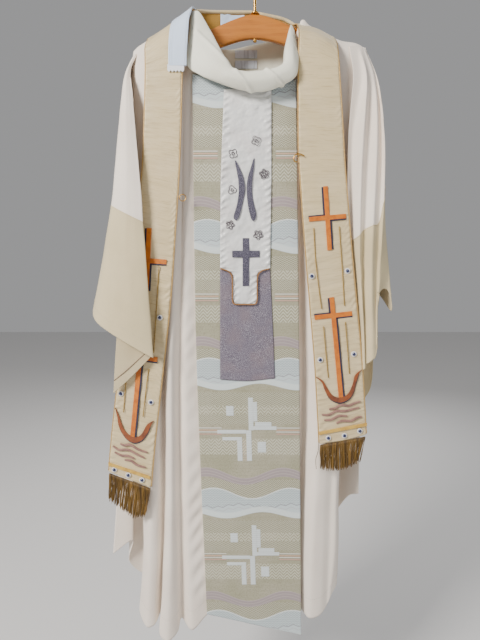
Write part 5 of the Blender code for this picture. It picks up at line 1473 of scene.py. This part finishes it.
RIGHT_STOLE = [
    [(-0.006, 0.064, -0.04), (0.056, 0.056, -0.056), (0.079, 0.04, -0.074), (0.081, -0.008, -0.095),
     (0.0815, -0.036, -0.1095), (0.0815, -0.06, -0.133), (0.0805, -0.07, -0.165),
     (0.08, STOLE_LEVEL, -0.215),
     (0.081, STOLE_LEVEL, -0.288), (0.083, STOLE_LEVEL, -0.362), (0.091, STOLE_LEVEL, -0.461),
     (0.1, STOLE_LEVEL, -0.56), (0.1095, STOLE_LEVEL, -0.655), (0.119, STOLE_LEVEL, -0.75),
     (0.1255, STOLE_LEVEL, -0.836), (0.1315, STOLE_LEVEL, -0.925)],
    [(-0.006, 0.079, -0.059), (0.078, 0.065, -0.084), (0.113, 0.047, -0.1), (0.116, -0.006, -0.104),
     (0.117, -0.034, -0.118), (0.1165, -0.059, -0.14), (0.116, -0.07, -0.17),
     (0.1175, STOLE_LEVEL - 0.0003, -0.215), (0.1215, STOLE_LEVEL - 0.0003, -0.29),
     (0.1255, STOLE_LEVEL - 0.0003, -0.364), (0.1345, STOLE_LEVEL - 0.0003, -0.458),
     (0.1435, STOLE_LEVEL - 0.0003, -0.553), (0.154, STOLE_LEVEL - 0.0003, -0.648),
     (0.1645, STOLE_LEVEL - 0.0003, -0.743), (0.1718, STOLE_LEVEL - 0.0003, -0.827),
     (0.1785, STOLE_LEVEL - 0.0003, -0.919)],
    [(-0.006, 0.083, -0.079), (0.098, 0.073, -0.106), (0.148, 0.046, -0.124), (0.153, -0.004, -0.1205),
     (0.1545, -0.034, -0.138), (0.153, -0.059, -0.161), (0.153, -0.07, -0.185),
     (0.155, STOLE_LEVEL, -0.215),
     (0.162, STOLE_LEVEL, -0.292), (0.168, STOLE_LEVEL, -0.367), (0.1775, STOLE_LEVEL, -0.456),
     (0.187, STOLE_LEVEL, -0.545), (0.1985, STOLE_LEVEL, -0.64), (0.21, STOLE_LEVEL, -0.735),
     (0.218, STOLE_LEVEL, -0.818), (0.2255, STOLE_LEVEL, -0.906)],
]
neck_edges = {}
for side, folds, pivot in (("left", LEFT_STOLE, (-0.17, -0.072)), ("right", RIGHT_STOLE, (0.115, -0.072))):
    surface = evenly(surface_through(folds, 44, 700), 560)
    u, v = cloth_lengths(surface)
    outward = facing(surface)
    body = "stole_" + side
    above = (pivot[0], pivot[1], -0.142)
    below = (pivot[0], pivot[1], -0.176)
    face = surface + outward * silk_relief(u, v, surface)[..., None]
    neck_edge = face[:, -1 if side == "left" else 0]
    neck_edges[side] = neck_edge[:int(np.argmax(neck_edge[:, 1] < 0.012))]
    front = cloth_piece("stole_silk_" + side, face, silk, 0.0012)
    inner = (surface - outward * 0.0019)[:, 1:-1]
    lining = cloth_piece("stole_lining_cloth_" + side, inner, mustard, 0.0008)
    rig.replaces(front, "stole_" + side, "stole_neck")
    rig.slot(front, "stole_silk")
    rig.replaces(lining, "stole_%s_lining" % side)
    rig.slot(lining, "stole_lining")
    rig.blend(front, "garment", body, above, below)
    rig.blend(lining, "garment", body, above, below)
    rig.sheet(front, **cut_of(surface), held="hung")
    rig.sheet(lining, **cut_of(inner), held="hung")
    for edge, column, beyond in (("outer" if side == "left" else "inner", 0, -1),
                                 ("inner" if side == "left" else "outer", -1, 1)):
        along = np.gradient(surface, axis=1)[:, column]
        along /= np.linalg.norm(along, axis=1)[:, None]
        route = face[:, column] + along * beyond * 0.001 - outward[:, column] * 0.001
        trim = rod("stole_%s_%s_piping" % (side, edge), route[::2], 0.0013, 8, piping)
        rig.replaces(trim, "stole_%s_piping_%s" % (side, "left" if beyond < 0 else "right"))
        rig.slot(trim, "gold_piping")
        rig.blend(trim, "garment", body, above, below)

roll_route = np.concatenate([neck_edges["left"][::-3], neck_edges["right"][3::3]]) + np.array([0.0, -0.0024,
    0.0004])
roll_width = 0.0034 * np.clip(np.minimum(np.arange(len(roll_route)),
    np.arange(len(roll_route))[::-1]) / 8.0, 0.2, 1.0)
neck_roll = rod("stole_neck_roll", roll_route, roll_width, 14, silk)
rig.slot(neck_roll, "stole_silk")
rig.ride(neck_roll, "garment")




# ------------------------------------------------------------------ neck guard
# Removable white cotton guard tacked over the stole where it touches the neck: double topstitching
# along both sides and a scalloped lace end.
guard_cotton = cloth_finish("guard_cotton", colour(212, 228, 250), colour(190, 208, 236), 0.8, 0.0007, 0.2,
    0.3)
guard_thread = Finish("guard_thread", colour(236, 240, 246), 0.6)
GUARD = [
    [(-0.148, 0.05, -0.082), (-0.153, 0.018, -0.084), (-0.155, -0.01, -0.089), (-0.158, -0.037, -0.104),
     (-0.16, -0.062, -0.129), (-0.1615, -0.0735, -0.16), (-0.162, -0.0755, -0.18),
     (-0.162, -0.0758, -0.199)],
    [(-0.135, 0.046, -0.064), (-0.137, 0.016, -0.07), (-0.139, -0.01, -0.077), (-0.1415, -0.0395, -0.096),
     (-0.144, -0.063, -0.123), (-0.145, -0.0745, -0.16), (-0.1455, -0.0764, -0.18),
     (-0.1455, -0.0764, -0.199)],
    [(-0.1205, 0.034, -0.0475), (-0.1225, 0.013, -0.0555), (-0.123, -0.0095, -0.064),
    (-0.1235, -0.0415, -0.086),
     (-0.125, -0.0635, -0.114), (-0.127, -0.074, -0.156), (-0.1285, -0.0757, -0.178),
     (-0.129, -0.0757, -0.199)],
    [(-0.119, 0.029, -0.05), (-0.1205, 0.009, -0.0585), (-0.1215, -0.011, -0.068),
    (-0.1228, -0.037, -0.089),
     (-0.126, -0.058, -0.116), (-0.1305, -0.069, -0.157), (-0.132, -0.07, -0.178),
     (-0.1325, -0.07, -0.199)],
]
guard_surface = surface_through(GUARD, 40, 150)
guard = cloth_piece("neck_guard_cloth", guard_surface, guard_cotton, 0.001,
                    lambda u, v, s: soft_noise(u / 0.02, v / 0.03, 91) * 0.0005)
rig.replaces(guard, "neck_guard")
guard_stitching = []
for column, label in ((2, "a"), (5, "b"), (23, "c"), (26, "d")):
    row = stitch_run("guard_stitches_" + label, guard_surface[:, column] + facing(guard_surface)[:,
        column] * 0.0005,
                     guard_thread, 0.0026, 0.001, 0.0003)
    guard_stitching.append(row)
scallops = []
for k in range(61):
    share = k / 60.0
    scallops.append((-0.164 + 0.031 * share, -0.207 - 0.003 * abs(math.sin(5.0 * math.pi * share))))
lace = raised_shape("guard_lace_end", [(-0.133, -0.197), (-0.164, -0.197)] + scallops, -0.0758, 0.0008,
                    guard_thread, 0.0002)
for piece in [guard, lace] + guard_stitching:
    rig.slot(piece, "guard_cotton")
    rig.ride(piece, "garment")
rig.sheet(guard, **cut_of(guard_surface), held="draped", with_pieces=guard_stitching + [lace])
inside_surface = surface_through([
    [(-0.07, 0.0555, -0.045), (-0.07, 0.0565, -0.056), (-0.07, 0.057, -0.07)],
    [(-0.045, 0.0595, -0.045), (-0.045, 0.0605, -0.056), (-0.045, 0.061, -0.072)],
    [(-0.02, 0.061, -0.0455), (-0.02, 0.062, -0.056), (-0.02, 0.0625, -0.07)],
], 30, 14)
inside_guard = cloth_piece("neck_guard_back_inside", inside_surface, guard_cotton, 0.0008,
                           lambda u, v, s: soft_noise(u / 0.008, v / 0.008, 92) * 0.0006)
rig.slot(inside_guard, "guard_cotton")
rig.ride(inside_guard, "garment")
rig.sheet(inside_guard, **cut_of(inside_surface), held="laid")


# ------------------------------------------------------------------ crosses and anchors
# Embroidered in close satin stitch of burnt-orange rayon with a navy shadow along one side; the
# lower cross on each half stands on an anchor's curved arms like a mast in a boat.
def stitched(name, base, other, roughness=0.42, pitch=0.0011):
    """Satin-stitch thread: fine ridges with a slow drift of colour."""
    made = Finish(name, base, roughness)
    made.tint(made.noise(90.0, 3.0).step(0.38, 0.7) * 0.6, other)
    split = made.tree.nodes.new("ShaderNodeSeparateXYZ")
    made.tree.links.new(made.place("Object"), split.inputs[0])
    ridge = ((Thread(made.tree, split.outputs[2]) + Thread(made.tree, split.outputs[0]) * 0.35)
             * (2.0 * math.pi / pitch)).sine()
    made.tint(ridge.step(0.3, 1.0) * 0.25, other)
    made.emboss(ridge, 0.45, 0.0004)
    made.set(sheen_weight=0.2, specular_ior_level=0.5)
    return made


orange = stitched("orange_embroidery", colour(220, 122, 14), colour(182, 84, 8))
rust = stitched("rust_embroidery", colour(150, 76, 26), colour(78, 36, 24))
navy_thread = stitched("navy_embroidery", colour(40, 38, 66), colour(26, 22, 42))
EMBROIDERY_FRONT = -0.0746
EMBROIDERY_DEPTH = 0.0026


def placed_outline(outline, origin, tilt):
    c = math.cos(math.radians(tilt))
    s = math.sin(math.radians(tilt))
    return [(origin[0] + x * c - z * s, origin[1] + x * s + z * c) for x, z in outline]


def shadow_strips(height, bar, drop, thick, wide):
    """Navy strips beside the upper post, over the left arm, under the right arm and beside the lower post."""
    t = thick / 2.0
    b = bar / 2.0
    return [
        [(-t - wide, -0.001), (-t + 0.001, -0.001), (-t + 0.001, -drop + t), (-t - wide, -drop + t)],
        [(-b - 0.0005, -drop + t + wide * 0.7), (-t, -drop + t + wide * 0.7), (-t, -drop),
        (-b - 0.0005, -drop)],
        [(t, -drop), (b, -drop), (b, -drop - t - wide * 0.8), (t, -drop - t - wide * 0.8)],
        [(t - 0.001, -drop - t), (t + wide, -drop - t), (t + wide, -height + 0.001),
        (t - 0.001, -height + 0.001)],
    ]


def embroider(name, outline, finish, body, front=EMBROIDERY_FRONT, node=None):
    shape = raised_shape(name, outline, front, EMBROIDERY_DEPTH, finish, 0.0006)
    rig.slot(shape, "orange_embroidery")
    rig.ride(shape, body)
    if node:
        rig.replaces(shape, node)
    return shape


LEFT_ARMS = (
    [(-0.28, -0.85), (-0.2762, -0.8685), (-0.2738, -0.887), (-0.2675, -0.9015), (-0.2575, -0.915),
     (-0.243, -0.9225), (-0.229, -0.918), (-0.218, -0.906), (-0.211, -0.8915), (-0.2035, -0.8772)],
    [(-0.2794, -0.85), (-0.2735, -0.864), (-0.269, -0.879), (-0.2625, -0.896), (-0.252, -0.907),
     (-0.24, -0.9108), (-0.231, -0.907), (-0.2245, -0.898), (-0.2165, -0.8845), (-0.204, -0.8768)])
RIGHT_ARMS = (
    [(0.1205, -0.7868), (0.1333, -0.7983), (0.1397, -0.8144), (0.1497, -0.8305), (0.1632, -0.838),
    (0.1741, -0.8385),
     (0.1873, -0.8325), (0.1968, -0.819), (0.2015, -0.7995), (0.207, -0.78), (0.2125, -0.7725)],
    [(0.121, -0.786), (0.1345, -0.7935), (0.144, -0.808), (0.152, -0.8205), (0.161, -0.827),
    (0.1715, -0.829),
     (0.182, -0.825), (0.19, -0.815), (0.1955, -0.799), (0.1995, -0.783), (0.212, -0.7718)])
for side, upper, lower, arms in (
    ("left", (0.122, 0.073, 0.0625, 0.0094, (-0.2041, -0.4948), -3.9),
     (0.208, 0.07, 0.04, 0.0094, (-0.2232, -0.708), -6.7), LEFT_ARMS),
    ("right", (0.121, 0.0715, 0.059, 0.0088, (0.133, -0.4165), 5.0),
     (0.202, 0.074, 0.036, 0.0092, (0.1495, -0.628), 6.5), RIGHT_ARMS),
):
    body = "stole_" + side
    embroider("upper_cross_" + side, cross_shape(*upper), orange, body, node="cross_" + side)
    embroider("mast_cross_" + side, cross_shape(*lower), orange, body, node="anchor_" + side)
    outer, inner = (curve_through(edge, 60).tolist() for edge in arms)
    embroider("anchor_arms_" + side, outer + list(reversed(inner)), rust, body, EMBROIDERY_FRONT - 0.0003)
    lowered = [(x + 0.0006, z - 0.0022) for x, z in outer[14:-6]]
    embroider("anchor_shadow_" + side, lowered + list(reversed(outer[14:-6])), navy_thread, body,
              EMBROIDERY_FRONT + 0.0002)
    for label, spec, wide in (("upper", upper, 0.0034), ("mast", lower, 0.0036)):
        for number, strip in enumerate(shadow_strips(spec[0], spec[1], spec[2], spec[3], wide), start=1):
            embroider("%s_shadow_%s_%d" % (label, side, number), placed_outline(strip, spec[4], spec[5]),
                      navy_thread, body, EMBROIDERY_FRONT + 0.0004)


# ------------------------------------------------------------------ gold lines and waves
# Rain-like lines of couched gold thread beside the crosses, and padded rose-brown waves under
# the anchors.
gold_thread = Finish("gold_thread", colour(168, 134, 62), 0.38, metallic=0.3)
gold_thread.tint(gold_thread.noise(300.0, 2.0).step(0.45, 0.65) * 0.5, colour(112, 84, 38))
rose = stitched("rose_brown_embroidery", colour(164, 122, 108), colour(106, 72, 70))
GOLD_LINES = {
    "left": [[(-0.1865, -0.568), (-0.1935, -0.655), (-0.2005, -0.738)], [(-0.2245, -0.6), (-0.242, -0.745)],
             [(-0.2545, -0.775), (-0.2634, -0.8593)], [(-0.2111, -0.7704), (-0.218, -0.82), (-0.2244,
             -0.8685)]],
    "right": [[(0.112, -0.495), (0.118, -0.566), (0.13, -0.6505)],
    [(0.161, -0.492), (0.169, -0.576), (0.1749, -0.6446)],
              [(0.1347, -0.6852), (0.14, -0.735), (0.1464, -0.7884)],
              [(0.1774, -0.6768), (0.183, -0.73), (0.1879, -0.7798)]],
}
WAVES = {
    "left": [[(-0.2719, -0.9243), (-0.263, -0.9278), (-0.2517, -0.9266), (-0.2361, -0.936),
    (-0.2171, -0.943)],
             [(-0.2867, -0.929), (-0.2746, -0.9372), (-0.2565, -0.9372), (-0.2409, -0.9454),
             (-0.223, -0.9548)],
             [(-0.2837, -0.9419), (-0.2704, -0.9489), (-0.2568, -0.9501), (-0.2434, -0.956)],
             [(-0.2638, -0.9583), (-0.2503, -0.9607), (-0.2392, -0.969), (-0.2212, -0.9749)]],
    "right": [[(0.1489, -0.8529), (0.161, -0.8504), (0.173, -0.8442), (0.1876, -0.8454), (0.1996, -0.8404),
    (0.2116, -0.8367)],
              [(0.1346, -0.8642), (0.1492, -0.8642), (0.1636, -0.8566), (0.1806, -0.8566),
              (0.1951, -0.8529), (0.2096, -0.8492)],
              [(0.1397, -0.8754), (0.1543, -0.8742), (0.1687, -0.8667), (0.1857, -0.8667)],
              [(0.1642, -0.8817), (0.1762, -0.8767), (0.1933, -0.8767), (0.2053, -0.8704),
              (0.215, -0.8679)]],
}


def joined_rods(name, routes, radius, sides, finish, level, squash, samples, taper=False):
    """Several flattened threads as one piece, each route given as (x, z) points."""
    points = []
    faces = []
    for route in routes:
        flat = curve_through(route, samples)
        path = np.stack([flat[:, 0], np.full(samples, level), flat[:, 1]], axis=1)
        radii = np.full(samples, radius)
        if taper:
            radii = radius * (0.45 + 0.55 * np.sin(np.linspace(0.05, 0.95, samples) * math.pi) ** 0.5)
        more_points, more_faces = sweep(path, radii, sides, squash=squash)
        faces += [tuple(len(points) + k for k in face) for face in more_faces]
        points += more_points
    return new_piece(name, points, faces, finish)


for side in ("left", "right"):
    body = "stole_" + side
    lines = joined_rods("gold_lines_" + side, GOLD_LINES[side], 0.0009, 8, gold_thread, -0.0741, 0.8, 40)
    waves = joined_rods("waves_" + side, WAVES[side], 0.0027, 12, rose, -0.0742, 0.5, 60, taper=True)
    for piece, material_slot in ((lines, "gold_braid"), (waves, "orange_embroidery")):
        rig.slot(piece, material_slot)
        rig.ride(piece, body)


# ------------------------------------------------------------------ heading braid and beads
# A flat yellow-gold braid crosses each end; three glazed navy beads, each in a white ring of
# stitching, sit under it and more are scattered above.
braid_thread = stitched("yellow_gold_braid", colour(220, 178, 76), colour(176, 128, 48), 0.4, 0.0016)
glaze = Finish("navy_glaze", colour(34, 42, 84), 0.12)
glaze.tint(glaze.noise(500.0, 2.0).step(0.5, 0.7) * 0.5, colour(20, 24, 52))
glaze.set(coat_weight=0.8, coat_roughness=0.05)
ring_thread = Finish("white_ring_thread", colour(232, 232, 234), 0.55)
BRAIDS = {"left": ((-0.2972, -0.9672), (-0.2128, -0.997)), "right": ((0.13, -0.903), (0.2262, -0.8842))}
BEADS = {
    "left": [(-0.187, -0.668), (-0.2679, -0.821), (-0.2081, -0.8386), (-0.2855, -0.9796),
    (-0.2575, -0.9912),
             (-0.2298, -1.0015)],
    "right": [(0.11, -0.587), (0.179, -0.577), (0.1296, -0.7524), (0.196, -0.7407), (0.149, -0.9128),
              (0.1814, -0.9078), (0.2122, -0.8981)],
}


def button(name, x, z, profile, finish, sides=28):
    """Turned shape facing the front; profile is (radius, y) from the middle outwards."""
    points = [(x + radius * math.cos(2.0 * math.pi * k / sides), y,
        z + radius * math.sin(2.0 * math.pi * k / sides))
              for radius, y in profile for k in range(sides)]
    faces = [tuple(range(sides))]
    for i in range(len(profile) - 1):
        for k in range(sides):
            n = (k + 1) % sides
            faces.append((i * sides + k, (i + 1) * sides + k, (i + 1) * sides + n, i * sides + n))
    faces.append(tuple(reversed(range((len(profile) - 1) * sides, len(profile) * sides))))
    return new_piece(name, points, faces, finish)


for side in ("left", "right"):
    body = "stole_" + side
    (x0, z0), (x1, z1) = BRAIDS[side]
    band = []
    for k in range(33):
        share = k / 32.0
        band.append((x0 + (x1 - x0) * share, z0 + (z1 - z0) * share + 0.0035 + 0.0002 * (-1) ** k))
    foot = [(x, z - 0.0068) for x, z in reversed(band)]
    strip = raised_shape("heading_braid_" + side, band + foot, -0.0748, 0.0026, braid_thread, 0.0006)
    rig.replaces(strip, "braid_" + side)
    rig.slot(strip, "gold_braid")
    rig.ride(strip, body)
    for number, (x, z) in enumerate(BEADS[side], start=1):
        bead = button("glazed_bead_%s_%d" % (side, number), x, z, [
            (0.0004, -0.0768), (0.0018, -0.0765), (0.0028, -0.0757), (0.0034, -0.0746), (0.0035, -0.073)],
            glaze)
        ring = button("bead_ring_%s_%d" % (side, number), x, z, [
            (0.003, -0.0736), (0.0036, -0.0744), (0.0046, -0.0746), (0.0054, -0.0741), (0.0057, -0.0726)],
            ring_thread)
        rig.replaces(bead, "bead_%s_%d" % (side, number))
        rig.slot(bead, "bead_glaze")
        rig.slot(ring, "guard_cotton")
        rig.ride(bead, body)
        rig.ride(ring, body)


# ------------------------------------------------------------------ fringes
# Bronze bullion fringe: two rows of twisted strands sewn under each end, a little uneven at the tips.
bronze = Finish("bronze_bullion", colour(118, 88, 32), 0.5)
bronze.tint(bronze.noise(160.0, 2.0, (1.0, 1.0, 0.08)).step(0.4, 0.62) * 0.85, colour(70, 48, 16))
bronze.tint(bronze.noise(260.0, 1.0, (1.0, 1.0, 0.05)).step(0.6, 0.74) * 0.5, colour(168, 126, 56))
bronze.emboss(bronze.noise(900.0, 1.0), 0.4, 0.0006)
chance = random.Random(11)
FRINGE_TIPS = {
    "left": ([(-0.2965, -0.985), (-0.213, -1.018)],
             [(-0.2985, -1.045), (-0.276, -1.063), (-0.249, -1.083), (-0.224, -1.08)]),
    "right": ([(0.1325, -0.926), (0.224, -0.908)],
              [(0.1335, -0.98), (0.1665, -0.982), (0.19, -0.976), (0.213, -0.964)]),
}
STRANDS = 46 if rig.quick() else 74
for side, (heading_line, tips) in FRINGE_TIPS.items():
    (x0, z0), (x1, z1) = heading_line
    tip_line = curve_through(tips, 101)
    points = []
    faces = []
    for layer in range(2):
        for k in range(STRANDS):
            share = (k + 0.5 + 0.35 * (chance.random() - 0.5)) / STRANDS
            top = np.array([x0 + (x1 - x0) * share, -0.0738 + 0.0026 * layer,
                z0 + (z1 - z0) * share - 0.0024])
            tip_x, tip_z = tip_line[int(share * 100)]
            tip = np.array([tip_x + chance.uniform(-0.0022, 0.0022),
                -0.0742 + 0.003 * layer + chance.uniform(-0.001, 0.001),
                            tip_z + chance.uniform(-0.001, 0.0075)])
            sway = chance.uniform(-0.0012, 0.0012)
            path = curve_through([top, top * 0.66 + tip * 0.34 + np.array([sway, -0.0004, 0.0]),
                                  top * 0.33 + tip * 0.67 + np.array([-sway * 0.8, -0.0004, 0.0]), tip], 12)
            radii = np.full(12, 0.00072)
            radii[-1] = 0.0004
            more_points, more_faces = sweep(path, radii, 5)
            faces += [tuple(len(points) + n for n in face) for face in more_faces]
            points += more_points
    fringe = new_piece("bullion_fringe_" + side, points, faces, bronze)
    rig.replaces(fringe, "fringe_" + side)
    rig.slot(fringe, "fringe_thread")
    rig.ride(fringe, "fringe_" + side)
loose = joined_rods("loose_thread_right", [[(0.13, -0.9222), (0.1287, -0.94), (0.1243, -0.9578), (0.1258,
    -0.978)]],
                    0.0006, 6, bronze, -0.0735, 1.0, 30)
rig.slot(loose, "fringe_thread")
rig.ride(loose, "stole_right")


# ------------------------------------------------------------------ ring and hook of the stole
# A small brass ring and hook on the inner edges, with which the halves can be joined at the chest.
ring_turn = np.linspace(0.0, 2.0 * math.pi, 49)[:-1]
ring_route = np.stack([-0.139 + 0.0062 * np.cos(ring_turn), np.full(48, -0.075),
    -0.438 + 0.0062 * np.sin(ring_turn)],
                      axis=1)
ring = rod("small_brass_ring", ring_route, 0.0009, 10, brass, closed=True)
hook_bend = curve_through([(0.092, -0.0742, -0.361), (0.086, -0.0748, -0.358), (0.08, -0.075, -0.357),
                           (0.074, -0.075, -0.36), (0.0716, -0.075, -0.366), (0.074, -0.075, -0.371),
                           (0.079, -0.075, -0.372)], 60)
catch = rod("small_brass_hook", hook_bend, 0.0012, 10, brass)
for piece, node, body in ((ring, "stole_ring", "stole_left"), (catch, "stole_hook", "stole_right")):
    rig.replaces(piece, node)
    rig.slot(piece, "brass")
    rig.ride(piece, body)


# ------------------------------------------------------------------ sizes
# The drawn model's box beside the solid model's box, written to a file.
low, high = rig.bounds()
with open("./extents.json", "w") as size_file:
    json.dump({"cad": [list(cad_low), list(cad_high)], "visual": [list(low), list(high)]}, size_file)
